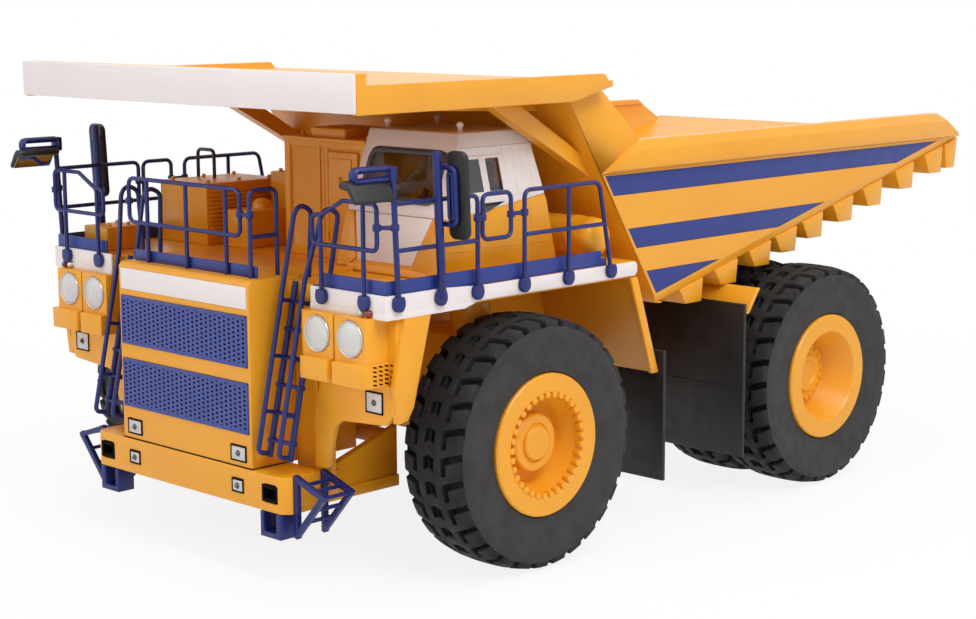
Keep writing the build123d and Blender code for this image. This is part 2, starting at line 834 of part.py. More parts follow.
def corner_lamp(extra=0):
    inset = corner_lamp_inset
    return block((wing_panel_x[1] - square_lamp_depth, wing_panel_x[1] + panel_proud + extra),
                 (deck_half_width - inset[1], deck_half_width - inset[0]), corner_lamp_z)


def headlamps():
    """Headlamp lenses, two on each side."""
    start, end = lamp_box_front_x - 1, lamp_box_front_x + panel_proud
    return both_sides(group([lens(sum(y) / 2, start, end) for y in lamp_box_sides()]))


def square_lamps():
    shapes = [lamp_block(bumper_front_x, *row) for row in bumper_lamps]
    shapes += [lamp_block(housing_front_x, *row) for row in housing_lamps]
    return group([*shapes, both_sides(corner_lamp())])


def grilles():
    return group([grille_panel(upper_grille_z), grille_panel(lower_grille_z)])


def engine_bay():
    """Closed walls between the frame and the deck, behind the radiator housing."""
    shape = side_plate([
        (housing_rear_x, rail_top_z), (housing_rear_x, deck_bottom_z), (deck_rear_x, deck_bottom_z),
        (deck_rear_x - bay_lean, rail_top_z),
    ], (-bay_half_width, bay_half_width))
    gap_y = bay_half_width + 1
    beam_gap = block(front_beam_x, (-gap_y, gap_y), (rail_top_z - 1, axle_beam_top_z))
    return shape - beam_gap


def arch_walls():
    """Sloped walls behind the front wheels, with a flange down the outer edge."""
    foot_x = deck_rear_x - arch_wall_drop
    shapes = []
    # Depth forwards, inner edge
    for depth, inner_y in ((arch_wall, bay_half_width), (arch_flange, deck_half_width - arch_wall)):
        shapes.append(side_plate([
            (deck_rear_x, deck_bottom_z), (deck_rear_x + depth, deck_bottom_z),
            (foot_x + depth, arch_wall_bottom_z), (foot_x, arch_wall_bottom_z),
        ], (inner_y, deck_half_width)))
    return both_sides(fused(shapes))


def front_flaps():
    """Rubber flaps hung from the rear of the arch walls."""
    outer = deck_half_width + 1.5
    return both_sides(block(front_flap_x, (outer - front_flap_width, outer), front_flap_z))


def round_sided_strut(y):
    return bar((front_axle_x, y, strut_bottom_z), (front_axle_x, y, strut_top_z), strut_radius, 12)


def front_axle():
    """Cross beam over the frame, with the strut housings that carry the steered wheels."""
    shapes = [block(front_beam_x, (-kingpin_y, kingpin_y), (rail_top_z, axle_beam_top_z))]
    sides = (-kingpin_y, kingpin_y)
    for y in sides:
        shapes.append(round_sided_strut(y))
    shape = fused(shapes)
    for y in sides:
        shape -= hole((front_axle_x, y, strut_bottom_z - 1),
                      (front_axle_x, y, strut_bottom_z + kingpin_length + end_clearance), kingpin_radius)
    return shape


def knuckle():
    """Left steering knuckle: kingpin, body, wheel spindle, steering arm and its pin."""
    x, y = front_axle_x, kingpin_y
    arm_x = x - steering_arm_reach
    half = steering_arm_width / 2
    arm_top = steering_arm_z + steering_arm_height
    spindle_end = wheel_face_y - front_recess_depth + bore_end_depth - end_clearance
    return fused([
        bar((x, y, knuckle_bottom_z), (x, y, strut_bottom_z - end_clearance), knuckle_radius),
        pin((x, y, strut_bottom_z - 1), (x, y, strut_bottom_z + kingpin_length), kingpin_radius),
        pin((x, y, axle_z), (x, spindle_end, axle_z), spindle_radius),
        block((arm_x - half, x), (y - half, y + half), (steering_arm_z, arm_top)),
        pin((arm_x, y, steering_arm_z - tie_eye_height - 0.5), (arm_x, y, steering_arm_z + 0.5),
            tie_pin_radius),
    ])


def tie_rod():
    """Track rod between the steering arms, an eye at each end."""
    x = front_axle_x - steering_arm_reach
    top = steering_arm_z - end_clearance
    low = top - tie_eye_height
    half = tie_rod_width / 2
    shapes = [block((x - half, x + half), (1.8 - kingpin_y, kingpin_y - 1.8), (low + 0.1, top - 0.1))]
    for y in (-kingpin_y, kingpin_y):
        shapes.append(bar((x, y, low), (x, y, top), tie_eye_radius))
    shape = fused(shapes)
    for y in (-kingpin_y, kingpin_y):
        shape -= hole((x, y, low - 1), (x, y, top + 1), tie_pin_radius)
    return shape


def rear_axle():
    """Rear axle: centre drum, tubes and the spindles that carry the twin wheels."""
    inner = wheel_face_y - 2 * tyre_width - dual_gap - rear_tube_end_gap
    spindle_end = wheel_face_y - rear_recess_depth - end_clearance
    half = rear_drum_length / 2
    centre = (rear_axle_x, axle_z)
    side = drive_shaft_size / 2
    return fused([
        bar((centre[0], -half, centre[1]), (centre[0], half, centre[1]), rear_drum_radius, 12),
        bar((centre[0], -inner, centre[1]), (centre[0], inner, centre[1]), rear_tube_radius, 12),
        pin((centre[0], -spindle_end, centre[1]), (centre[0], spindle_end, centre[1]), spindle_radius),
        block((centre[0] + side, 0), (-side, side), (axle_z - side, axle_z + side)),
    ])


def rear_struts():
    """Rear suspension struts between the axle and the frame: rod below, cylinder above."""
    x, y = rear_axle_x - rear_strut_x_offset, rear_strut_y
    rod = bar((x, y, axle_z + 4), (x, y, rear_strut_joint_z), rear_strut_rod_radius)
    cylinder = bar((x, y, rear_strut_joint_z), (x, y, rear_strut_top_z), rear_strut_radius)
    return both_sides(fused([rod, cylinder]))


def cab_form(inset):
    """Closed form of the cab, with every face moved in by inset."""
    profile = outline([
        (cab_rear_x, deck_top_z), (cab_front_x, deck_top_z), (cab_front_x - cab_front_lean, cab_belt_z),
        (cab_roof_x[1], cab_roof_z), (cab_roof_x[0], cab_roof_z), (cab_rear_belt_x, cab_belt_z),
    ])
    if inset:
        profile = offset(profile, -inset, kind=Kind.INTERSECTION)
    shape = across(profile, (cab_inner_y + inset, cab_outer_y - inset))
    lean = front_plate([
        (cab_outer_y - inset, cab_belt_z), (cab_roof_y - inset, cab_roof_z),
        (cab_roof_y - inset - 0.01, cab_roof_z + 5), (cab_outer_y + 5, cab_roof_z + 5),
        (cab_outer_y + 5, cab_belt_z),
    ], (cab_rear_x - 1, cab_front_x + 1))
    return shape - lean


def cab_windows():
    """Cutters for the cab's windows: windscreen, left side pair, right side and rear."""
    z = (cab_belt_z + sill_gap, cab_roof_z - header_gap)
    rear_side, front_side = side_windows_x
    through = (cab_outer_y - 6, cab_outer_y + 1)
    return [
        block((cab_roof_x[1] - 3, cab_front_x + 1), (cab_inner_y + 3.2, cab_roof_y - 1.8),
              (z[0] - 2, z[1] + 1)),
        block(front_side, through, z),
        block(rear_side, through, z),
        block((rear_side[0] + 2, front_side[1]), (cab_inner_y - 1, cab_inner_y + 4), z),
        block((cab_rear_x, cab_roof_x[0] + 1.4), (cab_inner_y + 6, cab_roof_y - 5), z),
    ]


def cab_shell():
    return cab_form(0) - cab_form(cab_wall)


def above_belt(top_z):
    """Space over the colour line, which rises from the front of the cab to its rear."""
    low, high = cab_belt_z - cab_belt_tilt, cab_belt_z + cab_belt_tilt
    back, front = cab_rear_belt_x, cab_front_x - cab_front_lean
    return side_plate([(back - 20, high), (back, high), (front, low), (front + 20, low), (front + 20, top_z),
                       (back - 20, top_z)], (cab_inner_y - 1, cab_outer_y + 1))


def cab_lower():
    return cab_shell() - above_belt(cab_roof_z + 1)


def cab_upper():
    """White upper cab with its window openings and four lifting eyes."""
    shell = cab_shell() & above_belt(cab_roof_z + 1)
    for window in cab_windows():
        shell -= window
    for x in (cab_roof_x[0] + 2.9, cab_roof_x[1] - 3.5):
        for y in (cab_inner_y + 3, cab_roof_y - 3):
            shell += bar((x, y, cab_roof_z - 0.3), (x, y, cab_roof_z + lifting_eye_height),
                         lifting_eye_radius, 6)
    return shell


def cab_front_panel():
    """White panel on the front of the lower cab, narrower below."""
    face = cab_form(-front_panel_proud) - cab_form(0)
    low, high = deck_top_z + 2.8, cab_belt_z - cab_belt_tilt
    return face & front_plate([
        (cab_inner_y + 3.4, high), (cab_outer_y - 5.5, high), (cab_outer_y - 9.5, low),
        (cab_inner_y + 7.2, low),
    ], (cab_front_x - cab_front_lean, cab_front_x + 1))


def cab_glass():
    sheet = cab_form(glass_recess) - cab_form(glass_recess + glass_thickness)
    return group([sheet & window for window in cab_windows()])


def cab_interior():
    """Seat, console and steering column on the cab floor."""
    floor = deck_top_z + cab_wall
    cushion, back = seat_heights
    return fused([
        block(seat_x[1:], seat_y, (floor, floor + cushion)),
        block(seat_x[:2], seat_y, (floor, floor + back)),
        block(console_x, (cab_inner_y + 4, cab_outer_y - 4), (floor, floor + console_height)),
        bar((console_x[0] + 0.5, 36, floor + 12), (console_x[0] - 4, 36, floor + 18), 0.8, 6),
    ])


def control_cabinet():
    """Tall cabinet beside the cab, its back sloped, with two recessed doors in front."""
    y = (cabinet_inner_y, cab_inner_y - side_clearance)
    lean = 3.5
    shape = side_plate([
        (cabinet_x[0] - 1.5, deck_top_z), (cabinet_x[1], deck_top_z), (cabinet_x[1], cabinet_top_z),
        (cabinet_x[0] + lean - 1.5, cabinet_top_z),
    ], y)
    margin = 2.4
    middle = sum(y) / 2
    for low, high in ((y[0] + margin, middle - margin / 2), (middle + margin / 2, y[1] - margin)):
        shape -= block((cabinet_x[1] - door_pocket, cabinet_x[1] + 1), (low, high),
                       (deck_top_z + margin, cabinet_top_z - margin))
    return shape


# Boxes between the cabinet and the intake: x, y, top
middle_boxes = [((66.0, 83.0), (-33.7, -25.0), 80.0), ((50.0, 66.0), (-36.0, -18.7), 88.8)]


def intake_boxes():
    """Intake and brake resistor boxes on the right of the deck, the large one louvred on its inner side."""
    z = deck_top_z
    outer = intake_outer_inset - deck_half_width
    intake_y = (outer, outer + intake_width)
    large = block(intake_x, intake_y, (z, intake_top_z))
    for row in range(intake_slots):
        low = z + 3 + intake_slot_pitch * row
        large -= block((intake_x[0] + 5, intake_x[1] - 5), (intake_y[1] - louvre_pocket, intake_y[1] + 1),
                       (low, low + 0.9))
    middle = fused([block(x, y, (z, top)) for x, y, top in middle_boxes])
    front_box = block((100.0, 111.0), (outer, outer + 10.5), (z, 76.2))
    return group([large, middle, front_box])


def air_tank():
    """Tank across the deck behind the cab, on saddles, with a domed end."""
    end = deck_half_width - tank_end_inset - tank_dome
    upright = ring(tank_radius, tank_inner_y, end, 14) + ring(tank_radius, end, end + tank_dome, 14, 48)
    tank = Pos(tank_x, 0, tank_z) * Rot(X=-90) * upright
    saddle = block((tank_x - saddle_width / 2, tank_x + saddle_width / 2), (tank_inner_y + 3, end - 3),
                   (deck_top_z, tank_z - tank_radius / 2))
    return tank + saddle


def mirror_brackets():
    """Brackets on the rails: a slotted box in front and a loop for the tall mirror."""
    y = deck_half_width + rail_bar
    top = corner_post_top_z
    box = block(look_down_x, (y - 3.2, y - 0.6), (top + 0.55, top + 2.6))
    box -= block((look_down_x[0] + 4, look_down_x[1] - 2), (y - 2.4, y - 1.4), (top - 1, top + 3))
    back = mirror_post_x - mirror_post_size / 2
    x = (back - mirror_loop_thickness, back)
    low, high = mirror_loop_z
    reach = y + (tall_mirror_y[0] + tall_mirror_y[1]) / 2
    arm = merged(bent_bar([(y - 0.5, low), (reach, low), (reach, high), (y - 0.5, high)], rail_bar))
    return both_sides(group([box, along(arm, x)]))


def mirrors():
    """Black mirror housings: a look-down one in front and a tall one behind."""
    y = deck_half_width + rail_bar
    top = corner_post_top_z + 0.55
    look_down = side_plate([
        (look_down_x[0] + 2, top), (look_down_x[1] + 0.4, top), (look_down_x[1] - 2, top - 3.6),
        (look_down_x[0] + 3.4, top - 4.2),
    ], (y - 4.6, y + 3.0))
    cut = mirror_chamfer
    near, far = y + tall_mirror_y[0], y + tall_mirror_y[1]
    low, high = tall_mirror_z
    back = mirror_post_x - mirror_post_size / 2 - mirror_loop_thickness
    tall = front_plate([
        (near, low + cut), (near + cut, low), (far - cut, low), (far, low + cut),
        (far, high - cut), (far - cut, high), (near + cut, high), (near, high - cut),
    ], (back - tall_mirror_thickness, back))
    return both_sides(group([look_down, tall]))


def wall_x(z):
    """Front face of the dump body's sloped front wall."""
    return body_front_x + (z - body_front_z) * rake


def sill_z(x):
    """Underside of the dump body's floor, which rises to the rear."""
    return body_front_z + sill_slope * (body_front_x - x)


def rib_z(x):
    return rib_first_z + rib_slope * (rib_first_x - x)


def dump_shell():
    """Floor, sloped front wall, side walls that rise to the canopy, top rails and bevelled sills."""
    inner = body_half_width - body_wall
    side = side_plate([
        (body_front_x, body_front_z), (wall_x(canopy_floor_z), canopy_floor_z),
        (canopy_rear_x, canopy_floor_z),
        (canopy_rear_x - web_reach, body_top_z), (tail_top_x, body_top_z),
        (tail_tip_x, sill_z(tail_tip_x)),
    ], (inner, body_half_width))
    low, top = body_top_z - rail_drop, body_top_z
    over = body_half_width + rail_overhang
    rail = front_plate([
        (body_half_width - 0.1, low), (over - 0.6, low + 0.8), (over, low + 2.4), (over, top - 2.4),
        (over - 1.4, top), (inner - 0.6, top), (inner - 0.6, top - 1.6), (body_half_width - 0.1, top - 1.6),
    ], (tail_tip_x, wall_x(top)))
    rail &= side_plate([
        (wall_x(low), low), (wall_x(low) - 14, top), (tail_top_x, top), (tail_tip_x + 1, low),
    ], (0, over + 1))
    inset, rise = sill_bevel
    start_x = body_front_x + 1
    along_sill = Plane((start_x, 0, sill_z(start_x)), x_dir=(0, 1, 0), z_dir=(-1, 0, sill_slope))
    bevel = extrude(along_sill * outline([
        (body_half_width - inset, 0.1), (body_half_width + 1, 0.1), (body_half_width + 1, -rise),
        (body_half_width, -rise),
    ]), amount=body_front_x - tail_tip_x + 8)
    floor = side_plate([
        (body_front_x, body_front_z), (tail_tip_x, sill_z(tail_tip_x)),
        (tail_tip_x, sill_z(tail_tip_x) + floor_thickness),
        (wall_x(body_front_z + floor_thickness), body_front_z + floor_thickness),
    ], (-body_half_width, body_half_width))
    front = side_plate([
        (body_front_x, body_front_z), (wall_x(canopy_floor_z), canopy_floor_z),
        (wall_x(canopy_floor_z) - wall_step, canopy_floor_z), (body_front_x - wall_step, body_front_z),
    ], (-body_half_width, body_half_width))
    wall = fused([side, rail])
    shell = fused([floor, front, wall, mirrored(wall)])
    for cut in [bevel, *stripe_panels(stripe_pocket, body_half_width + 1)]:
        shell = shell - cut - mirrored(cut)
    return shell


# Stripes on the sides: low z, high z
stripe_rows = [(86.1, 91.3), (72.1, 77.4), (body_front_z + 2.6, 65.9)]


def stripe_end_x(z):
    """Rear end of a stripe, just above the bevelled sill."""
    return body_front_x - (z - body_front_z - sill_bevel[1] - 0.4) / sill_slope


def stripe_panels(depth, outer_y):
    panels = []
    for low, high in stripe_rows:
        corners = [(wall_x(high) - 1.2, high), (wall_x(low) - 1.2, low), (stripe_end_x(low), low),
                   (stripe_end_x(high), high)]
        if stripe_end_x(low) > wall_x(low) - 3:
            corners = [corners[0], corners[1], corners[3]]
        panels.append(side_plate(corners, (body_half_width - depth, outer_y)))
    return panels


def dump_stripes():
    outer = body_half_width - stripe_pocket + stripe_thickness
    return both_sides(group(stripe_panels(stripe_pocket, outer)))


# Middles of the ribs under the floor
rib_places = [2.0, -13.0, -28.0, -40.0, -52.5, -67.4, -82.3, -99.0, -114.8]


def floor_rib(x):
    """Box rib across the underside, its front and rear sides sloped."""
    half = rib_length / 2
    low = rib_z(x)
    return side_plate([
        (x - half, sill_z(x - half)), (x - half + 0.8, low), (x + half - 2.6, low),
        (x + half, sill_z(x + half)),
    ], (rib_end_gap - body_half_width, body_half_width - rib_end_gap))


def beam_profile():
    """Side profile of the beams under the floor, shallower than the ribs."""
    front, rear = rib_places[0], rib_places[-1]
    return [(front, sill_z(front)), (front, rib_z(front) + beam_step), (rear, rib_z(rear) + beam_step),
            (rear, sill_z(rear))]


def bracket_profile():
    """Side profile of the plate that hangs from each beam to the pivot's eye."""
    return [
        (pivot_x - 9, sill_z(pivot_x - 9)), (pivot_x - pivot_eye_radius, pivot_z),
        (pivot_x + pivot_eye_radius, pivot_z), (pivot_x + 9, sill_z(pivot_x + 9)),
    ]


def dump_ribs():
    """Cross ribs under the floor, notched over the beams, and the tail beam."""
    pocket = side_plate([(30, 40), (30, sill_z(30) - 0.6), (-60, sill_z(-60) - 0.6), (-60, 40)],
                        (beam_y[0], hoist_y + 7))
    beam = side_plate(beam_profile(), beam_y)
    hanger = side_plate(bracket_profile(), beam_y)
    shapes = []
    for x in rib_places:
        cuts = [beam]
        if abs(x - hoist_head[0]) < rib_length:
            cuts.append(pocket)
        if abs(x - pivot_x) < rib_length:
            cuts.append(hanger)
        rib = floor_rib(x)
        for cut in cuts:
            rib = rib - cut - mirrored(cut)
        shapes.append(rib)
    shapes.append(side_plate([
        (tail_tip_x, sill_z(tail_tip_x)), (tail_tip_x + 1.5, tail_bottom_z), (tail_tip_x + 6, tail_bottom_z),
        (tail_tip_x + 7, sill_z(tail_tip_x + 7)),
    ], (rib_end_gap - body_half_width, body_half_width - rib_end_gap)))
    return group(shapes)


def body_beams():
    """Two beams along the underside, with the pivot eyes and the ears of the hoist rods."""
    eye = bar((pivot_x, beam_y[0], pivot_z), (pivot_x, beam_y[1], pivot_z), pivot_eye_radius, 12)
    bore = hole((pivot_x, beam_y[0] - 1, pivot_z), (pivot_x, beam_y[1] + 1, pivot_z), pivot_pin_radius)
    ear_gap = stage_bore + hoist_gap
    head_x, head_z = hoist_head
    ear_profile = [
        (head_x - 1.9, sill_z(head_x - 1.9)), (head_x - 2.6, head_z - 2.6),
        (head_x + 2.6, head_z - 2.6), (head_x + 2.9, sill_z(head_x + 2.9)),
    ]
    inner_ear = side_plate(ear_profile, (hoist_y - ear_gap - ear_width, hoist_y - ear_gap))
    outer_ear = side_plate(ear_profile, (hoist_y + ear_gap, hoist_y + ear_gap + ear_width))
    beam = fused([side_plate(beam_profile(), beam_y), side_plate(bracket_profile(), beam_y), eye, inner_ear])
    return both_sides(group([beam - bore, outer_ear]))


def rear_mudguards():
    """Sloped plates under the floor, in front of the rear tyres, that carry the flaps."""
    top_z = rib_z(rib_places[1])
    plate = side_plate([(-9.2, 52.3), (-8.0, 52.3), (-12.6, top_z), (-13.9, top_z)], mudguard_y)
    return both_sides(plate)


def rear_flaps():
    """Rubber flaps hung from the mudguards."""
    return both_sides(block((-8.0, -6.9), mudguard_y, (13.6, 55.0)))


def canopy():
    """Rock canopy over the deck: roof plate, front lip and side boards that run back to the body's sides."""
    front = canopy_front_x - canopy_band_thickness
    half = canopy_half_width
    board = (half - canopy_board, half)
    end_x = wall_x(canopy_board_z[0]) + 4
    roof = block((canopy_rear_x, front), (-half, half), (canopy_floor_z, canopy_roof_z))
    lip = block((front - canopy_lip_length, front), (-half, half), canopy_lip_z)
    side = side_plate([
        (end_x, canopy_board_z[0]), (front, canopy_board_z[0]), (front, canopy_board_z[1]),
        (canopy_rear_x + 3, canopy_board_z[1]), (canopy_rear_x, canopy_floor_z),
    ], board)
    return fused([roof, lip, side, mirrored(side)])


def canopy_ribs():
    """Tapered ribs under the canopy, from the lip to the front wall."""
    front = canopy_front_x - canopy_band_thickness
    low = canopy_floor_z - canopy_rib_depth
    shapes = []
    for index in range(canopy_rib_count):
        y = canopy_rib_pitch * (index - (canopy_rib_count - 1) / 2)
        shapes.append(side_plate([
            (front - canopy_lip_length, canopy_floor_z), (wall_x(canopy_floor_z) + seat_gap, canopy_floor_z),
            (wall_x(low) + seat_gap, low), (front - 8, canopy_floor_z - canopy_rib_depth / 2),
        ], (y - canopy_rib_width / 2, y + canopy_rib_width / 2)))
    return group(shapes)


def canopy_braces():
    """Diagonal box braces from the canopy's underside down to the front wall."""
    outer = body_half_width - brace_inset
    foot = [(wall_x(z) + seat_gap, z) for z in brace_foot_z]
    head = [(foot[1][0] + reach, canopy_floor_z) for reach in brace_head_reach]
    brace = side_plate([head[0], *foot, head[1]], (outer - brace_width, outer))
    return both_sides(brace)


def canopy_band():
    return block((canopy_front_x - canopy_band_thickness, canopy_front_x),
                 (-canopy_half_width, canopy_half_width), canopy_lip_z)


def on_hoist(distance, side):
    """Point on a hoist cylinder's axis, measured from its foot pin."""
    foot = Vector(hoist_foot[0], side * hoist_y, hoist_foot[1])
    head = Vector(hoist_head[0], side * hoist_y, hoist_head[1])
    return foot + (head - foot).normalized() * distance


def hoist_bar(start, end, radius, side):
    return bar(on_hoist(start, side), on_hoist(end, side), radius, hoist_sides)


def hoist_tube(start, end, radius, bore, side):
    return hoist_bar(start, end, radius, side) - hoist_bar(start + 1, end + 1, bore, side)


def hoist_eye(distance, side, radius, half_width):
    centre = on_hoist(distance, side)
    reach = Vector(0, half_width, 0)
    return bar(centre - reach, centre + reach, radius, 10)


def hoist_barrels():
    shapes = []
    for side in (-1, 1):
        tube = hoist_tube(stage_start - 1.5, barrel_length, barrel_radius, barrel_bore, side)
        tube += hoist_eye(0, side, eye_radius + 1, eye_radius)
        foot = on_hoist(0, side)
        reach = Vector(0, eye_radius + 1, 0)
        shapes.append(tube - hole(foot - reach, foot + reach, hoist_pin_radius))
    return group(shapes)


def hoist_stages():
    end, radius = stage_start + stage_length, barrel_bore - hoist_gap
    return group([hoist_tube(stage_start, end, radius, stage_bore, side) for side in (-1, 1)])


def hoist_rods():
    eye_half = stage_bore - 2 * hoist_gap - side_clearance
    return group([
        hoist_bar(rod_start, hoist_reach - 1, stage_bore - hoist_gap, side)
        + hoist_eye(hoist_reach, side, rod_eye_radius, eye_half)
        for side in (-1, 1)
    ])


one_tyre = tyre()
front_tyre = on_axle(one_tyre, front_axle_x, wheel_face_y - tyre_width / 2)
twin_tyres = group([on_axle(one_tyre, rear_axle_x, wheel_face_y - tyre_width / 2 - step)
                    for step in (0, tyre_width + dual_gap)])
front_wheel = on_axle(front_rim(), front_axle_x, wheel_face_y)
rear_wheel = on_axle(rear_rim(), rear_axle_x, wheel_face_y)

nodes = {
    "frame": frame, "cross_members": cross_members, "front_arms": front_arms, "bumper": bumper,
    "tow_hoops": tow_hoops, "bumper_steps": bumper_steps, "radiator_housing": housing, "grilles": grilles,
    "nose_band": lambda: grille_panel(band_z), "square_lamps": square_lamps, "front_fenders": fenders,
    "headlamp_lenses": headlamps, "engine_bay": engine_bay, "arch_walls": arch_walls,
    "front_flaps": front_flaps, "deck": deck, "deck_fascia": fascia, "toe_boards": toe_boards,
    "side_rails": side_rails,
    "centre_rail": centre_rail, "ladders": ladders, "cab_lower": cab_lower,
    "cab_front_panel": cab_front_panel, "cab_upper": cab_upper, "cab_glass": cab_glass,
    "cab_interior": cab_interior,
    "control_cabinet": control_cabinet, "intake_boxes": intake_boxes, "air_tank": air_tank,
    "mirror_brackets": mirror_brackets, "mirrors": mirrors,
    "front_axle": front_axle, "rear_axle": rear_axle, "rear_struts": rear_struts,
    "knuckle_left": knuckle, "knuckle_right": lambda: mirrored(knuckle()), "tie_rod": tie_rod,
    "tyre_front_left": lambda: front_tyre, "tyre_front_right": lambda: mirrored(front_tyre),
    "tyres_rear_left": lambda: twin_tyres, "tyres_rear_right": lambda: mirrored(twin_tyres),
    "rim_front_left": lambda: front_wheel, "rim_front_right": lambda: mirrored(front_wheel),
    "rim_rear_left": lambda: rear_wheel, "rim_rear_right": lambda: mirrored(rear_wheel),
    "hoist_barrels": hoist_barrels, "hoist_stages": hoist_stages, "hoist_rods": hoist_rods,
    "dump_shell": dump_shell, "dump_ribs": dump_ribs, "body_beams": body_beams,
    "rear_mudguards": rear_mudguards, "dump_stripes": dump_stripes, "rear_flaps": rear_flaps,
    "canopy": canopy, "canopy_ribs": canopy_ribs, "canopy_braces": canopy_braces, "canopy_band": canopy_band,
}

os.makedirs("parts", exist_ok=True)
for name, make in nodes.items():
    export_step(make(), f"parts/{name}.step")
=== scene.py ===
"""Display model of a rigid mining dump truck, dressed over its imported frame.

Lengths in the tables are millimetres in the model's own frame: X forward, Y to the left, Z up.
"""

import json
from math import cos, pi, radians, sin

import bpy
from mathutils import Matrix, Vector

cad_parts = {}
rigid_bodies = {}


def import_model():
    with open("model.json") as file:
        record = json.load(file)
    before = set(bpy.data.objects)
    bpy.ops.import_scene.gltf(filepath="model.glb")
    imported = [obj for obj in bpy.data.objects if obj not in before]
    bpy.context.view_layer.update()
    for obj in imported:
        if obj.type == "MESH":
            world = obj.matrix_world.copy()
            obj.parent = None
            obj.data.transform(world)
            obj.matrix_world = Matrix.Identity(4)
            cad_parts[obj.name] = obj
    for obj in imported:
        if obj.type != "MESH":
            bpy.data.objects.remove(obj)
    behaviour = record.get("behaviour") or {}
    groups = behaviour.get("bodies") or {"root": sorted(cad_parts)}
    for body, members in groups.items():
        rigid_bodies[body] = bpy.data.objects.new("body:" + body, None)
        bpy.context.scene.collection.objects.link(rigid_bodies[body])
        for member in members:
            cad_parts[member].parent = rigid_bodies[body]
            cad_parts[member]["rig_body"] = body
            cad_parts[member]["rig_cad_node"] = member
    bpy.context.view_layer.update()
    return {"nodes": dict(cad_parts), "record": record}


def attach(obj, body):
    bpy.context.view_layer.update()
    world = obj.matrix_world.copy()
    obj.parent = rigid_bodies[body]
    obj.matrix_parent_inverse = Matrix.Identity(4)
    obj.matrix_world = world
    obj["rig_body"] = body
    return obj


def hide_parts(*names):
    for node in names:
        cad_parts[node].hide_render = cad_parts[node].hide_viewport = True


MM = 0.001

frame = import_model()
record = frame["record"]
body_of = {node: body for body, nodes in record["behaviour"]["bodies"].items() for node in nodes}
slot_of = {row["node"]: row["material_slot"] for row in record["subparts"]}


# Camera, light and floor, in metres and radians

camera_place = (0.4016722, 0.3768236, 0.1368773)
camera_yaw = 3.91860177
camera_dip = 0.1621839876
camera_roll = -0.0046279007
camera_lens = 71.82
sensor_width = 36.0
floor_size = 6
shadow_reach = (0.1, 0.3)
shadow_fade = (0.86, 1.0)
plain_white = (1, 1, 1, 1)
warm_white = (1, 0.985, 0.96, 1)
floor_grey = (0.93, 0.93, 0.93, 1)


def add_camera():
    """Camera where the photograph was taken from, level but for a slight roll."""
    ahead = Vector((cos(camera_yaw) * cos(camera_dip), sin(camera_yaw) * cos(camera_dip), -sin(camera_dip)))
    level = ahead.cross(Vector((0, 0, 1))).normalized()
    upward = level.cross(ahead)
    right = cos(camera_roll) * level + sin(camera_roll) * upward
    upward = cos(camera_roll) * upward - sin(camera_roll) * level
    bpy.ops.object.camera_add()
    camera = bpy.context.object
    camera.name = "photo_camera"
    turn = Matrix((right, upward, -ahead)).transposed()
    camera.matrix_world = Matrix.Translation(camera_place) @ turn.to_4x4()
    camera.data.lens = camera_lens
    camera.data.sensor_width = sensor_width
    camera.data.clip_start = 0.01
    bpy.context.scene.camera = camera


def add_lamp(name, place, target, size, power):
    """Soft square lamp at a place, turned to a target."""
    bpy.ops.object.light_add(type="AREA", location=place)
    lamp = bpy.context.object
    lamp.name = name
    lamp.data.shape = "SQUARE"
    lamp.data.size = size
    lamp.data.energy = power
    lamp.rotation_euler = (Vector(target) - Vector(place)).to_track_quat("-Z", "Y").to_euler()


def add_node(nodes, kind, operation=None, **values):
    """New shader node with its constants set; an underscore in their names stands for a space."""
    node = nodes.new("ShaderNode" + kind)
    if operation:
        node.operation = operation
    for name, value in values.items():
        node.inputs[name.replace("_", " ")].default_value = value
    return node


def seen_directly(tree):
    """Socket that is 1 for what the camera, a mirror or glass sees, and 0 for what only gives light."""
    path = add_node(tree.nodes, "LightPath")
    seen = path.outputs["Is Camera Ray"]
    for ray in ("Is Glossy Ray", "Is Transmission Ray"):
        either = add_node(tree.nodes, "Math", "MAXIMUM")
        tree.links.new(seen, either.inputs[0])
        tree.links.new(path.outputs[ray], either.inputs[1])
        seen = either.outputs[0]
    return seen


def mixed(tree, share, first, second):
    """Output of a mix of two shaders, with a share of the second."""
    mix = add_node(tree.nodes, "MixShader")
    for socket, place in ((share, 0), (first.outputs[0], 1), (second.outputs[0], 2)):
        tree.links.new(socket, mix.inputs[place])
    return mix.outputs[0]


def add_world(strength):
    """Soft light from all round, seen as plain white."""
    world = bpy.data.worlds.new("studio")
    bpy.context.scene.world = world
    world.use_nodes = True
    tree = world.node_tree
    tree.nodes.clear()
    soft = add_node(tree.nodes, "Background", Color=warm_white, Strength=strength)
    white = add_node(tree.nodes, "Background", Color=plain_white)
    output = add_node(tree.nodes, "OutputWorld")
    tree.links.new(mixed(tree, seen_directly(tree), soft, white), output.inputs["Surface"])


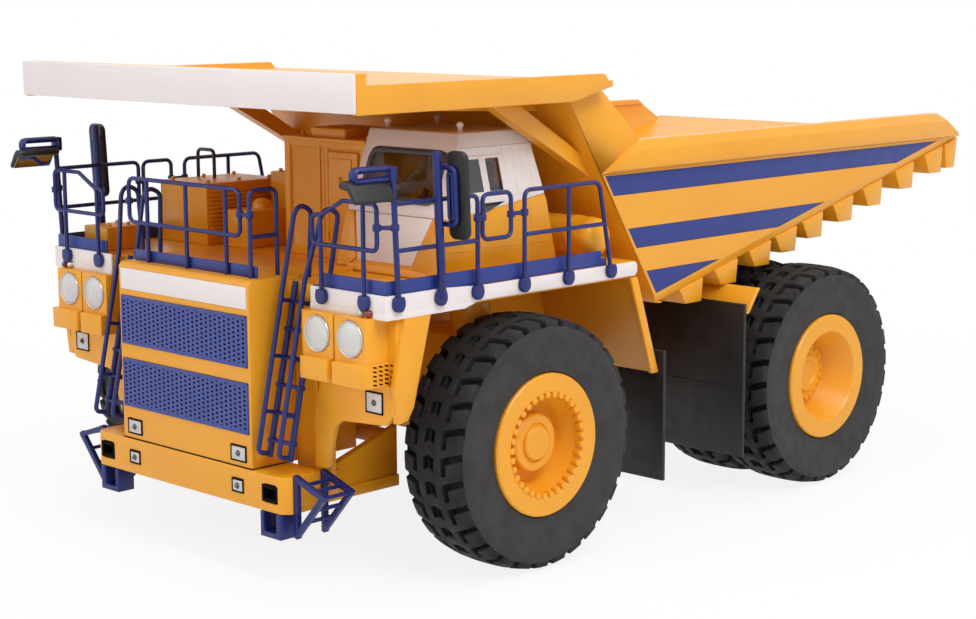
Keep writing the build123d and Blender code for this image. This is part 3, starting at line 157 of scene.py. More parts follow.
def add_floor():
    """Pale floor: it keeps a soft shadow under the model and runs out into white away from it."""
    bpy.ops.mesh.primitive_plane_add(size=floor_size)
    floor = bpy.context.object
    floor.name = "studio_floor"
    material = bpy.data.materials.new("studio_floor")
    material.use_nodes = True
    tree = material.node_tree
    nodes, links = tree.nodes, tree.links
    shader = nodes["Principled BSDF"]
    shader.inputs["Base Color"].default_value = floor_grey
    shader.inputs["Roughness"].default_value = 0.6
    white = add_node(nodes, "Emission", Color=plain_white)
    place = add_node(nodes, "TexCoord")
    away = add_node(nodes, "VectorMath", "LENGTH")
    fade = add_node(nodes, "MapRange", From_Min=shadow_reach[0], From_Max=shadow_reach[1],
                    To_Min=shadow_fade[0], To_Max=shadow_fade[1])
    share = add_node(nodes, "Math", "MULTIPLY")
    links.new(place.outputs["Object"], away.inputs[0])
    links.new(away.outputs["Value"], fade.inputs["Value"])
    links.new(seen_directly(tree), share.inputs[0])
    links.new(fade.outputs["Result"], share.inputs[1])
    links.new(mixed(tree, share.outputs[0], shader, white), nodes["Material Output"].inputs["Surface"])
    floor.data.materials.append(material)


# Finishes

tone_scale, gloss_scale = 45, 260


def linear(red, green, blue):
    """Colour as the screen shows it, 0 to 255, as the linear colour that the shader takes."""
    return (*((value / 255) ** 2.2 for value in (red, green, blue)), 1)


def moulded(name, colour, rough, grain, grain_depth, mottle=0.06, coat=0.0, metal=0.0):
    """Moulded or painted surface: fine grain in mm, a slow drift of tone and uneven gloss."""
    material = bpy.data.materials.new(name)
    material.use_nodes = True
    nodes, links = material.node_tree.nodes, material.node_tree.links
    shader = nodes["Principled BSDF"]
    shader.inputs["Metallic"].default_value = metal
    shader.inputs["Coat Weight"].default_value = coat
    shader.inputs["Coat Roughness"].default_value = 0.12
    place = add_node(nodes, "TexCoord")
    tone = add_node(nodes, "TexNoise", Scale=tone_scale, Detail=3)
    drift = add_node(nodes, "ValToRGB")
    red, green, blue, _ = linear(*colour)
    darker = (red * (1 - mottle), green * (1 - 1.4 * mottle), blue * (1 - mottle), 1)
    for index, position, shade in ((0, 0.3, darker), (1, 0.7, (red, green, blue, 1))):
        drift.color_ramp.elements[index].position = position
        drift.color_ramp.elements[index].color = shade
    gloss = add_node(nodes, "TexNoise", Scale=gloss_scale, Detail=4)
    spread = add_node(nodes, "MapRange", From_Min=0.3, From_Max=0.7, To_Min=rough * 0.85,
                      To_Max=min(1.0, rough * 1.2))
    peel = add_node(nodes, "TexNoise", Scale=1 / (grain * MM), Detail=2)
    bump = add_node(nodes, "Bump", Strength=0.6, Distance=grain_depth * MM)
    for texture in (tone, gloss, peel):
        links.new(place.outputs["Object"], texture.inputs["Vector"])
    links.new(tone.outputs["Fac"], drift.inputs["Fac"])
    links.new(drift.outputs["Color"], shader.inputs["Base Color"])
    links.new(gloss.outputs["Fac"], spread.inputs["Value"])
    links.new(spread.outputs["Result"], shader.inputs["Roughness"])
    links.new(peel.outputs["Fac"], bump.inputs["Height"])
    links.new(bump.outputs["Normal"], shader.inputs["Normal"])
    return material


def ribbed_lens(name, colour, rib):
    """Pressed lens over a silvered bowl, its crossed ribs rib mm apart."""
    material = moulded(name, colour, 0.24, 0.5, 0.03, mottle=0.16, coat=0.5, metal=0.1)
    nodes, links = material.node_tree.nodes, material.node_tree.links
    bump = add_node(nodes, "Bump", Strength=0.7, Distance=0.06 * MM)
    crossed = add_node(nodes, "Math", "ADD")
    for index, direction in enumerate(("Y", "Z")):
        ribs = add_node(nodes, "TexWave", Scale=1 / (rib * MM) / 3.2)
        ribs.wave_type = "BANDS"
        ribs.bands_direction = direction
        links.new(nodes["Texture Coordinate"].outputs["Object"], ribs.inputs["Vector"])
        links.new(ribs.outputs["Fac"], crossed.inputs[index])
    links.new(crossed.outputs[0], bump.inputs["Height"])
    links.new(nodes["Bump"].outputs["Normal"], bump.inputs["Normal"])
    links.new(bump.outputs["Normal"], nodes["Principled BSDF"].inputs["Normal"])
    return material


def clear_pane(name):
    """Clear window pane with faint unevenness."""
    material = moulded(name, (248, 250, 250), 0.03, 6, 0.01, mottle=0.01)
    shader = material.node_tree.nodes["Principled BSDF"]
    shader.inputs["Transmission Weight"].default_value = 1.0
    shader.inputs["IOR"].default_value = 1.45
    return material


# Name, colour on the screen, roughness, grain and its depth in mm, then any mottle, coat and metal
finish_rows = [
    ("yellow_plastic", (240, 164, 36), 0.36, 0.9, 0.012),
    ("yellow_metal", (240, 164, 36), 0.34, 1.6, 0.02, 0.06, 0.15),
    ("blue_plastic", (22, 36, 104), 0.42, 0.7, 0.015),
    ("grille_blue", (62, 76, 146), 0.5, 0.5, 0.02),
    ("white_paint", (236, 228, 226), 0.4, 1.1, 0.012, 0.03),
    ("black_plastic", (30, 29, 29), 0.5, 0.45, 0.03, 0.2),
    ("tyre", (50, 48, 48), 0.72, 0.35, 0.03, 0.07),
    ("steel", (200, 200, 202), 0.2, 0.3, 0.01, 0.05, 0.0, 1.0),
    # tread darker than the sidewall: partly the rubber's own colour, partly painted shade that keeps the
    # tread dark under the top lamp
    ("tread_black_and_painted_shade", (30, 29, 29), 0.82, 0.4, 0.04, 0.12),
    ("stripe_blue", (40, 58, 134), 0.42, 0.7, 0.012),
    ("window_frame", (70, 72, 76), 0.45, 0.6, 0.015),
    # near black: painted shade on slot floors, pockets, louvre slots, arch holes and the bumper seam, and
    # the lamp frames' own dark
    ("near_black_and_painted_shade", (9, 9, 10), 0.8, 0.5, 0.02, 0.2),
    ("mirror_glass", (205, 210, 214), 0.06, 4, 0.004, 0.03, 0.0, 1.0),
    # dark glossy panes: painted shade of the cab seen through the side windows
    ("dark_pane_painted_shade", (46, 48, 52), 0.08, 4, 0.004, 0.1, 0.6),
    ("lamp_red", (132, 30, 34), 0.2, 0.5, 0.02, 0.15, 0.4),
    ("lamp_knob", (96, 94, 88), 0.35, 0.5, 0.02),
    ("lens_rim", (198, 196, 190), 0.3, 0.5, 0.01, 0.08, 0.0, 0.6),
    ("grip_black", (34, 36, 52), 0.42, 0.6, 0.02, 0.12),
]
finish = {row[0]: moulded(*row) for row in finish_rows}
finish["glass"] = clear_pane("glass")
finish["lamp"] = ribbed_lens("lamp", (212, 212, 208), 0.6)
# The near black hardly reflects, so that the painted shade in slots and pockets reads as depth
finish["near_black_and_painted_shade"].node_tree.nodes["Principled BSDF"].inputs["Specular IOR Level"].default_value = 0.12

# Nodes painted in a lighter shade than their slot
repainted = {"dump_stripes": "stripe_blue", "toe_boards": "stripe_blue"}


# Modelling steps

axis_of = {"x": Vector((1, 0, 0)), "y": Vector((0, 1, 0)), "z": Vector((0, 0, 1))}
mirror_y = Matrix.Scale(-1, 4, (0, 1, 0))
stood_for = set()


def clear():
    """Nothing selected, so that the next operator acts on its own piece alone."""
    if bpy.context.object and bpy.context.object.mode != "OBJECT":
        bpy.ops.object.mode_set(mode="OBJECT")
    bpy.ops.object.select_all(action="DESELECT")


def pick(piece):
    clear()
    bpy.context.view_layer.objects.active = piece
    piece.select_set(True)


def edit(piece, kind="VERT"):
    pick(piece)
    bpy.ops.object.mode_set(mode="EDIT")
    bpy.ops.mesh.select_mode(type=kind)
    bpy.ops.mesh.select_all(action="SELECT")


def leave():
    bpy.ops.object.mode_set(mode="OBJECT")
    return bpy.context.object


def choose(piece, test, kind="FACE"):
    """Leaves the piece in edit mode, only the faces or edges that pass a test selected."""
    edit(piece, kind)
    bpy.ops.mesh.select_all(action="DESELECT")
    leave()
    for part in piece.data.polygons if kind == "FACE" else piece.data.edges:
        part.select = test(part)
    bpy.ops.object.mode_set(mode="EDIT")


def push(way):
    """Draws the selected faces out along a way in mm."""
    bpy.ops.mesh.extrude_region_move(TRANSFORM_OT_translate={"value": Vector(way) * MM})


def seat(piece):
    """Puts the piece's place into its mesh."""
    pick(piece)
    bpy.ops.object.transform_apply(location=True, rotation=True, scale=True)
    return piece


def outwards(piece, merge=0.001):
    """Merges points that are closer than a length in mm and turns the faces outward."""
    edit(piece)
    bpy.ops.mesh.remove_doubles(threshold=merge * MM)
    bpy.ops.mesh.normals_make_consistent(inside=False)
    return leave()


def eased(piece, width=0.2, steps=2, angle=30):
    """Rounds the piece's edges by a width in mm and shades it smooth between them."""
    pick(piece)
    if width:
        bevel = piece.modifiers.new("ease", "BEVEL")
        bevel.width = width * MM
        bevel.segments = steps
        bevel.limit_method = "ANGLE"
        bevel.angle_limit = radians(angle)
        bpy.ops.object.modifier_apply(modifier="ease")
    bpy.ops.object.shade_smooth_by_angle(angle=radians(angle + 5))
    return piece


def joined(name, pieces):
    clear()
    for piece in pieces:
        piece.select_set(True)
    bpy.context.view_layer.objects.active = pieces[0]
    if len(pieces) > 1:
        bpy.ops.object.join()
    bpy.context.object.name = name
    return bpy.context.object


def turned_copy(piece, matrix):
    """Copy of a piece with its own mesh, moved by a matrix."""
    other = piece.copy()
    other.data = piece.data.copy()
    other.data.transform(matrix)
    if matrix.determinant() < 0:
        other.data.flip_normals()
    bpy.context.scene.collection.objects.link(other)
    return other


def box(low, high, width=0.2, steps=2):
    """Block between two corners in mm, its edges eased."""
    clear()
    low, high = Vector(low), Vector(high)
    bpy.ops.mesh.primitive_cube_add(size=1, location=(low + high) / 2 * MM)
    piece = bpy.context.object
    piece.scale = (high - low) * MM
    return eased(seat(piece), width, steps)


def in_plane(axis, place, points):
    """Points drawn in the two other axes, set at a place on this one."""
    index = "xyz".index(axis)
    return [(*point[:index], place, *point[index:]) for point in points]


def outline(points, closed=True, fill="NOTHING"):
    """Line through points in mm, run back to its start if closed, or filled with one face."""
    clear()
    bpy.ops.mesh.primitive_circle_add(vertices=len(points), fill_type=fill)
    piece = bpy.context.object
    for vertex, point in zip(piece.data.vertices, points):
        vertex.co = Vector(point) * MM
    if not closed:
        choose(piece, lambda edge: set(edge.vertices) == {0, len(points) - 1}, "EDGE")
        bpy.ops.mesh.delete(type="EDGE")
        leave()
    return piece


def plate(points, axis, span, width=0.2, steps=2):
    """Outline of points in the two other axes, drawn out along an axis from span[0] to span[1]."""
    piece = outline(in_plane(axis, span[0], points), fill="NGON")
    edit(piece, "FACE")
    push(axis_of[axis] * (span[1] - span[0]))
    bpy.ops.mesh.select_all(action="SELECT")
    bpy.ops.mesh.normals_make_consistent(inside=False)
    return eased(leave(), width, steps)


def cup(low, high, facing, rim, depth, width=0.12):
    """Block whose face on one side is pushed in, inside a rim."""
    piece = box(low, high, 0)
    way = Vector(facing)
    choose(piece, lambda face: face.normal.dot(way) > 0.9)
    bpy.ops.mesh.inset(thickness=rim * MM)
    push(-way * depth)
    return eased(leave(), width, 1)


def rounded(low, high, corner, steps=4):
    """Outline between two opposite corners of a drawing, its own corners rounded."""
    left, right = low[0] + corner, high[0] - corner
    bottom, top = low[1] + corner, high[1] - corner
    points = []
    for index, (across, up) in enumerate(((right, top), (left, top), (left, bottom), (right, bottom))):
        for step in range(steps + 1):
            angle = pi / 2 * (index + step / steps)
            points.append((across + corner * cos(angle), up + corner * sin(angle)))
    return points


def leaned(piece, slope, start_z, axis="x"):
    """Slides the piece along an axis by slope for each unit that it rises over a height in mm."""
    index = "xyz".index(axis)
    matrix = Matrix.Identity(4)
    matrix[index][2] = slope
    matrix[index][3] = -slope * start_z * MM
    piece.data.transform(matrix)
    return piece


def flattened(piece, axis, centre, share):
    """Squeezes a piece along one axis about a plane in mm."""
    index = "xyz".index(axis)
    matrix = Matrix.Identity(4)
    matrix[index][index] = share
    matrix[index][3] = (1 - share) * centre * MM
    piece.data.transform(matrix)
    return piece


def bar(start, end, radius, sides=20, width=0.1):
    """Round bar between two points in mm."""
    clear()
    start, end = Vector(start) * MM, Vector(end) * MM
    way = end - start
    bpy.ops.mesh.primitive_cylinder_add(
        vertices=sides, radius=radius * MM, depth=way.length, location=(start + end) / 2,
        rotation=way.to_track_quat("Z", "Y").to_euler())
    return eased(seat(bpy.context.object), width)


def tube(points, radius, corner=0.0, closed=False, sides=3):
    """Round tube bent along points in mm, its corners rounded by a radius."""
    if len(points) == 2:
        return bar(points[0], points[1], radius, 4 * sides)
    piece = outline(points, closed)
    if corner:
        edit(piece)
        bpy.ops.mesh.bevel(affect="VERTICES", offset=corner * MM, segments=3)
        leave()
    pick(piece)
    bpy.ops.object.convert(target="CURVE")
    curve = bpy.context.object.data
    curve.bevel_depth = radius * MM
    curve.bevel_resolution = sides - 1
    curve.use_fill_caps = True
    bpy.ops.object.convert(target="MESH")
    return eased(outwards(bpy.context.object), 0, angle=40)


def spun(profile, centre, axis="y", steps=96, width=0.0, angle=30):
    """Closed form turned about an axis through a centre, from (radius, way along the axis) points in mm."""
    outward = axis_of["x" if axis == "z" else "z"]
    centre = Vector(centre)
    piece = outline([centre + axis_of[axis] * along + outward * radius for radius, along in profile])
    edit(piece)
    bpy.ops.mesh.spin(steps=steps, angle=2 * pi, center=centre * MM, axis=axis_of[axis])
    bpy.ops.mesh.select_all(action="SELECT")
    bpy.ops.mesh.remove_doubles(threshold=0.001 * MM)
    bpy.ops.mesh.delete_loose(use_verts=True, use_edges=True, use_faces=False)
    leave()
    return eased(outwards(piece), width, angle=angle)


def around(name, piece, centre, count):
    """Copies of a piece set evenly about the wheel's axis, as one piece."""
    middle = Matrix.Translation(Vector(centre) * MM)
    copies = []
    for index in range(count):
        turn = Matrix.Rotation(2 * pi * index / count, 4, "Y")
        copies.append(turned_copy(piece, middle @ turn @ middle.inverted()))
    bpy.data.objects.remove(piece)
    return joined(name, copies)


def set_out(name, piece, places):
    """Copies of a piece moved to each of several places in mm, as one piece."""
    copies = [turned_copy(piece, Matrix.Translation(Vector(place) * MM)) for place in places]
    bpy.data.objects.remove(piece)
    return joined(name, copies)


def dress(piece, node, paint=None, replaces=False):
    """Gives a piece a finish and the body it rides on, and says which CAD node it stands for."""
    if paint:
        piece.data.materials.clear()
        piece.data.materials.append(finish[paint])
    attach(piece, body_of[node])
    if replaces:
        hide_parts(node)
        stood_for.add(node)


def add_piece(name, parts, node, paint=None, pair=False, replaces=False):
    """Joins parts, with their mirror images on the other side for a pair, and dresses the whole."""
    piece = joined(name, parts)
    if pair:
        piece = joined(name, [piece, turned_copy(piece, mirror_y)])
    dress(piece, node, paint, replaces)


def refined(node, width):
    """Copy of a CAD node, merged and with its edges eased, that stands in for it."""
    pick(frame["nodes"][node])
    bpy.ops.object.duplicate()
    piece = bpy.context.object
    piece.name = node + "_eased"
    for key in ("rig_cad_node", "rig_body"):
        if key in piece:
            del piece[key]
    piece.parent = None
    edit(piece)
    bpy.ops.mesh.remove_doubles(threshold=0.002 * MM)
    bpy.ops.mesh.dissolve_limited(angle_limit=radians(1.0))
    bpy.ops.mesh.vert_connect_concave()
    leave()
    eased(piece, width)
    dress(piece, node, repainted.get(node, slot_of[node]), replaces=True)


# Tyres and rims

tyre_radius = 30.6
tyre_width = 18.6
rim_radius = 17.25
axle_z = tyre_radius
front_axle_x = 71.0
rear_axle_x = -43.8
wheel_face_y = 71.4
dual_gap = 2.4
lug_count = 30
groove_floor = 28.0
pitch = 2 * pi / lug_count

# Tread rows from the shoulder to the middle: y, radius, then the five columns' places as shares of a pitch
tread_rows = [
    (9.15, 28.4, (0.00, 0.05, 0.36, 0.68, 1.00)),
    (8.75, 29.75, (0.00, 0.07, 0.36, 0.68, 1.00)),
    (5.40, 30.40, (0.08, 0.24, 0.52, 0.96, 1.08)),
    (3.90, 30.50, (0.16, 0.34, 0.62, 1.02, 1.16)),
    (1.70, 30.58, (0.12, 0.37, 0.62, 0.87, 1.12)),
    (0.00, 30.60, (0.00, 0.25, 0.50, 0.75, 1.00)),
]
# Cells of the tread, as (row, column), that the hooked groove and the middle pit take up
sunk_cells = {(0, 1), (1, 1), (2, 1), (2, 2), (4, 1), (4, 2)}
# Sidewall from the tread's edge down to the bead and in to the middle: radius, y
sidewall = [
    (28.4, 9.15), (27.4, 9.28), (25.2, 9.3), (24.9, 9.2), (22.0, 9.1), (19.4, 8.8), (18.3, 8.5), (17.9, 8.7),
    (17.4, 8.4), (17.4, 0.0),
]


def tread_cell():
    """One pitch of one half of the tread, the hooked groove and the middle pit sunk between its blocks."""
    clear()
    columns = len(tread_rows[0][2])
    bpy.ops.mesh.primitive_grid_add(x_subdivisions=columns - 1, y_subdivisions=len(tread_rows) - 1)
    piece = bpy.context.object
    for index, vertex in enumerate(piece.data.vertices):
        row, column = divmod(index, columns)
        y, radius, shares = tread_rows[row]
        angle = shares[column] * pitch
        vertex.co = Vector((radius * sin(angle), y, radius * cos(angle))) * MM
    choose(piece, lambda face: divmod(face.index, columns - 1) in sunk_cells)
    push((0, 0, -0.5))
    leave()
    for face in piece.data.polygons:
        if face.select:
            for number in face.vertices:
                point = piece.data.vertices[number].co
                across = Vector((point.x, 0, point.z)).normalized() * groove_floor * MM
                piece.data.vertices[number].co = Vector((across.x, point.y, across.z))
    return piece


def tyre(name, node, place):
    """Tyre at a place: mirrored half treads and smooth sidewalls down to the beads."""
    half = tread_cell()
    tread = joined("tread", [half, turned_copy(half, mirror_y)])
    # tread darker than the sidewall, partly as painted shade
    tread.data.materials.append(finish["tread_black_and_painted_shade"])
    tread = around("tread", tread, (0, 0, 0), lug_count)
    wall = outline([(0, y, radius) for radius, y in sidewall], closed=False)
    edit(wall)
    bpy.ops.mesh.spin(steps=4 * lug_count, angle=2 * pi, center=(0, 0, 0), axis=axis_of["y"])
    leave()
    wall.data.materials.append(finish["tyre"])
    whole = joined(name, [tread, wall, turned_copy(wall, mirror_y)])
    eased(outwards(whole, 0.01), 0.12, 1, 38)
    whole.data.transform(Matrix.Translation(Vector(place) * MM))
    dress(whole, node, replaces=True)


def add_tyres():
    middle = wheel_face_y - tyre_width / 2
    for side, hand in ((1, "left"), (-1, "right")):
        tyre("tyre_front_tread_" + hand, "tyre_front_" + hand, (front_axle_x, side * middle, axle_z))
        for row, y in (("outer", middle), ("inner", middle - tyre_width - dual_gap)):
            tyre(f"tyre_rear_{row}_tread_{hand}", "tyres_rear_" + hand, (rear_axle_x, side * y, axle_z))


# Rims, from the hub's middle out over the face and round the back: radius, way out from the face
front_rim_profile = [
    (0, -3.2), (3.8, -3.2), (4.2, -3.5), (4.3, -4.1), (4.6, -4.3), (4.9, -4.0), (6.6, -4.0), (7.0, -4.4),
    (7.1, -7.1), (7.5, -7.5), (10.1, -7.5), (10.5, -7.0), (12.0, -1.4), (12.4, -0.5), (12.9, 0), (16.9, 0),
    (rim_radius, -0.35), (rim_radius, -17.9), (13.0, -17.9), (13.0, -11.3), (0, -11.3),
]
rear_rim_profile = [
    (0, -7.2), (3.2, -7.2), (3.6, -6.8), (4.9, -6.8), (5.2, -7.2), (5.5, -7.7), (8.0, -7.7), (8.3, -8.0),
    (8.4, -9.0), (9.5, -9.0), (9.9, -8.6), (12.2, -0.5), (12.7, 0), (16.9, 0), (rim_radius, -0.35),
    (rim_radius, -38.9), (0, -38.9),
]


def rim(name, node, profile, x, nuts, ring_radius, nut_span, nut_radius):
    """Turned rim with its ring of nuts, on the left wheel or mirrored to the right."""
    centre = (x, wheel_face_y, axle_z)
    disc = spun(profile, centre, angle=25)
    inner, outer = (wheel_face_y + way for way in nut_span)
    nut = bar((x, inner, axle_z + ring_radius), (x, outer, axle_z + ring_radius), nut_radius, 10, 0.12)
    whole = joined(name, [disc, around("nuts", nut, centre, nuts)])
    if node.endswith("right"):
        whole.data.transform(mirror_y)
        whole.data.flip_normals()
    dress(whole, node, "yellow_plastic", replaces=True)


def add_rims():
    for hand in ("left", "right"):
        rim("front_rim_turned_" + hand, "rim_front_" + hand, front_rim_profile, front_axle_x, 33, 12.2,
            (-1.7, 0.2), 0.8)
        rim("rear_rim_turned_" + hand, "rim_rear_" + hand, rear_rim_profile, rear_axle_x, 20, 7.3,
            (-7.9, -7.15), 0.42)


# Handrails, ladders, mirrors and their feet

rail_y = 65.55
fascia_side_y, fascia_front_x = 65.0, 116.4
nose_rail_x = 116.95
centre_rail_x = 120.2
rail_radius = 0.54
top_z, middle_z, foot_z = 91.0, 80.6, 68.4
clamp_z = 85.8
corner_post_x, gate_front_x, gate_rear_x, rear_post_x, end_post_x = 113.2, 88.4, 72.8, 57.4, 41.8
mirror_post = (100.2, 66.0)
mirror_post_top_z = 102.0
mirror_lean = 0.045
ladder_sides_y = (29.2, 36.6)
ladder_foot, ladder_head = (121.2, 29.6), (112.2, 70.2)
rung_count, first_rung_z, rung_step = 6, 33.6, 6.4

# Outline of a post's foot, shield-shaped with a rounded lower end: across, up
foot_shape = [
    (-1.45, 1.9), (-1.75, 0.6), (-1.7, -0.2), (-1.3, -1.0), (-0.6, -1.5),
    (0.6, -1.5), (1.3, -1.0), (1.7, -0.2), (1.75, 0.6), (1.45, 1.9),
]


def collar(x, y, z):
    return bar((x, y, z - 0.8), (x, y, z + 0.8), 0.95, 16, 0.25)


def clamp(start, end):
    """Short bar with a collar at each end, between two rails."""
    return [bar(start, end, 0.5, 16), collar(*start), collar(*end)]


def foot_plate(middle, facing):
    """Foot of a post, flat on the fascia's side or front."""
    points = [(middle + across, foot_z + up) for across, up in foot_shape]
    start = fascia_side_y if facing == "y" else fascia_front_x
    return plate(points, facing, (start, start + 1.25), 0.35, 3)


def side_tube(points, corner=0.0, closed=False):
    return tube(in_plane("y", rail_y, points), rail_radius, corner, closed)


def add_side_rails():
    """Rails along the side and round to the nose, with a gate loop, and the mirrors' posts."""
    post_x, post_y = mirror_post
    pieces = [
        side_tube([(114.2, top_z), (gate_front_x, top_z), (gate_front_x, foot_z)], 1.6),
        side_tube([(gate_rear_x, foot_z), (gate_rear_x, top_z), (46.4, top_z), (end_post_x, foot_z)], 1.8),
        side_tube(rounded((77.4, middle_z), (86.8, top_z), 1.6, 3), closed=True),
        side_tube([(113.8, middle_z), (gate_front_x, middle_z)]),
        side_tube([(gate_rear_x, middle_z), (44.3, middle_z)]),
        side_tube([(rear_post_x, foot_z), (rear_post_x, top_z)]),
        bar((corner_post_x, rail_y, foot_z), (114.5, rail_y, 96.6), 0.66, 20, 0.3),
        bar((post_x, post_y, foot_z),
            (post_x + mirror_lean * (mirror_post_top_z - foot_z), post_y, mirror_post_top_z), 1.0, 24, 0.6),
    ]
    for start, end in (
        ((gate_rear_x, rail_y), (77.4, rail_y)), ((86.8, rail_y), (gate_front_x, rail_y)),
        ((nose_rail_x, 62.8), (114.0, rail_y)),
    ):
        pieces += clamp((*start, clamp_z), (*end, clamp_z))
    loop = rounded((41.0, middle_z), (62.8, top_z), 1.4, 3)
    loop = loop[:4] + [(51.6, top_z), (44.6, 87.4), (41.9, 87.2), (41.0, 86.2)] + loop[8:]
    pieces.append(tube(in_plane("x", nose_rail_x, loop), rail_radius, closed=True))
    for y, head_z in ((43.9, 87.2), (58.3, top_z)):
        pieces.append(tube(in_plane("x", nose_rail_x, ((y, foot_z), (y, head_z))), rail_radius))
        pieces.append(foot_plate(y, "x"))
    for x in (corner_post_x, post_x, gate_front_x, gate_rear_x, rear_post_x, end_post_x):
        pieces.append(foot_plate(x, "y"))
    add_piece("side_rail_tubes", pieces, "side_rails", "blue_plastic", pair=True, replaces=True)


def add_centre_rail():
    """Loop over the nose on three posts, with a return beside it on the left."""
    x, rear_x = centre_rail_x, centre_rail_x - 8
    top, deck, right_y, left_y, return_y = top_z + 0.5, 71.0, -25.0, 19.0, 22.6
    loop = rounded((right_y, middle_z), (left_y, top), 1.8, 3)
    pieces = [tube(in_plane("x", x, loop), rail_radius, closed=True)]
    for y in (-17.5, -1.8, 13.6):
        pieces.append(tube([(x, y, deck), (x, y, top)], rail_radius))
    bent = [(x, deck), (x, top), (rear_x, top), (rear_x, deck)]
    pieces.append(tube(in_plane("y", return_y, bent), rail_radius, 1.6))
    pieces.append(tube([(x, return_y, middle_z), (rear_x, return_y, middle_z)], rail_radius))
    pieces += clamp((x, left_y, clamp_z), (x, return_y, clamp_z))
    pieces.append(collar(x, right_y, clamp_z))
    add_piece("centre_rail_tubes", pieces, "centre_rail", "blue_plastic", replaces=True)


def add_ladders():
    """Rungs between two slanted sides, with a grip looped out over each side."""
    foot_x, low_z = ladder_foot
    lean = (ladder_head[0] - foot_x) / (ladder_head[1] - low_z)
    inner, outer = ladder_sides_y
    pieces, grips = [], []
    for y, flare in ((inner, 0.4), (outer, 2.6)):
        pieces.append(tube(in_plane("y", y, (ladder_foot, ladder_head)), 0.75))
        top = y + flare
        grips.append(tube([
            (120.8, y, 30.4), (124.6, y, 31.2), (124.6 + lean * 40.0, y, 71.2), (112.6, top, 86.4),
            (110.6, top, 88.0), (107.4, top, 86.4), (108.2, y, 70.6),
        ], 0.6, 1.2))
    for index in range(rung_count):
        z = first_rung_z + rung_step * index
        x = foot_x + lean * (z - low_z)
        pieces.append(box((x - 0.8, inner, z - 0.35), (x + 0.8, outer, z + 0.35), 0.18))
        for y in ladder_sides_y:
            if index % 2:
                pieces.append(bar((x, y, z), (x + 2.9, y, z + 0.6), 0.5, 12))
            else:
                pieces.append(bar((x - 0.9, y, z - 0.1), (x + 0.9, y, z + 0.1), 0.7, 12))
    add_piece("ladder_rungs", pieces, "ladders", "blue_plastic", pair=True, replaces=True)
    add_piece("ladder_grips", grips, "ladders", "blue_plastic", pair=True, replaces=True)


def with_post(piece):
    """Leans a piece forward with the mirror's post."""
    return leaned(piece, mirror_lean, foot_z)


def add_mirrors():
    """Tall mirror on its looped bracket and look-down mirror in its visor, on both sides."""
    hook = [(66.0, 98.2), (70.0, 98.2), (70.0, 85.4), (66.0, 85.4)]
    slot = rounded((114.9, 96.5), (125.2, 98.9), 0.8, 3)
    brackets = [
        with_post(tube(in_plane("x", 98.6, hook), 0.62, 1.4)),
        with_post(tube(in_plane("x", 98.7, rounded((67.9, 86.6), (69.2, 97.0), 0.6, 3)), 0.5, closed=True)),
        flattened(tube(in_plane("y", 64.6, slot), 0.8, closed=True), "y", 64.6, 1.5),
        box((113.6, 63.6, 95.8), (115.6, 66.2, 99.4), 0.4),
    ]
    add_piece("mirror_loops", brackets, "mirror_brackets", "blue_plastic", pair=True, replaces=True)
    visor = [
        (61.9, 95.6), (62.2, 96.4), (63.2, 96.8), (64.8, 96.6), (65.8, 95.6), (67.8, 92.5), (67.5, 91.9),
        (66.8, 91.9), (64.7, 94.7), (62.5, 95.0),
    ]
    shells = [
        plate(visor, "x", (115.6, 127.2), 0.28),
        with_post(plate(rounded((66.5, 82.0), (72.6, 101.9), 1.9), "x", (96.4, 98.0), 0.5, 3)),
    ]
    add_piece("mirror_shells", shells, "mirrors", "black_plastic", pair=True, replaces=True)
    panes = [
        with_post(plate(rounded((67.1, 82.7), (72.0, 101.3), 1.5), "x", (96.25, 96.5), 0.08, 1)),
        plate([(64.2, 94.9), (66.6, 91.8), (66.8, 91.95), (64.4, 95.0)], "x", (116.0, 126.8), 0.04, 1),
    ]
    add_piece("mirror_glass", panes, "mirrors", "mirror_glass", pair=True)


# Nose

sheet_x, sheet_half_y = 123.82, 24.5
slot_columns, slot_rows = 28, 10
slot_edges = (0.0, 0.27, 0.73, 1.0)
grille_heights = ((50.4, 62.6), (34.5, 46.7))


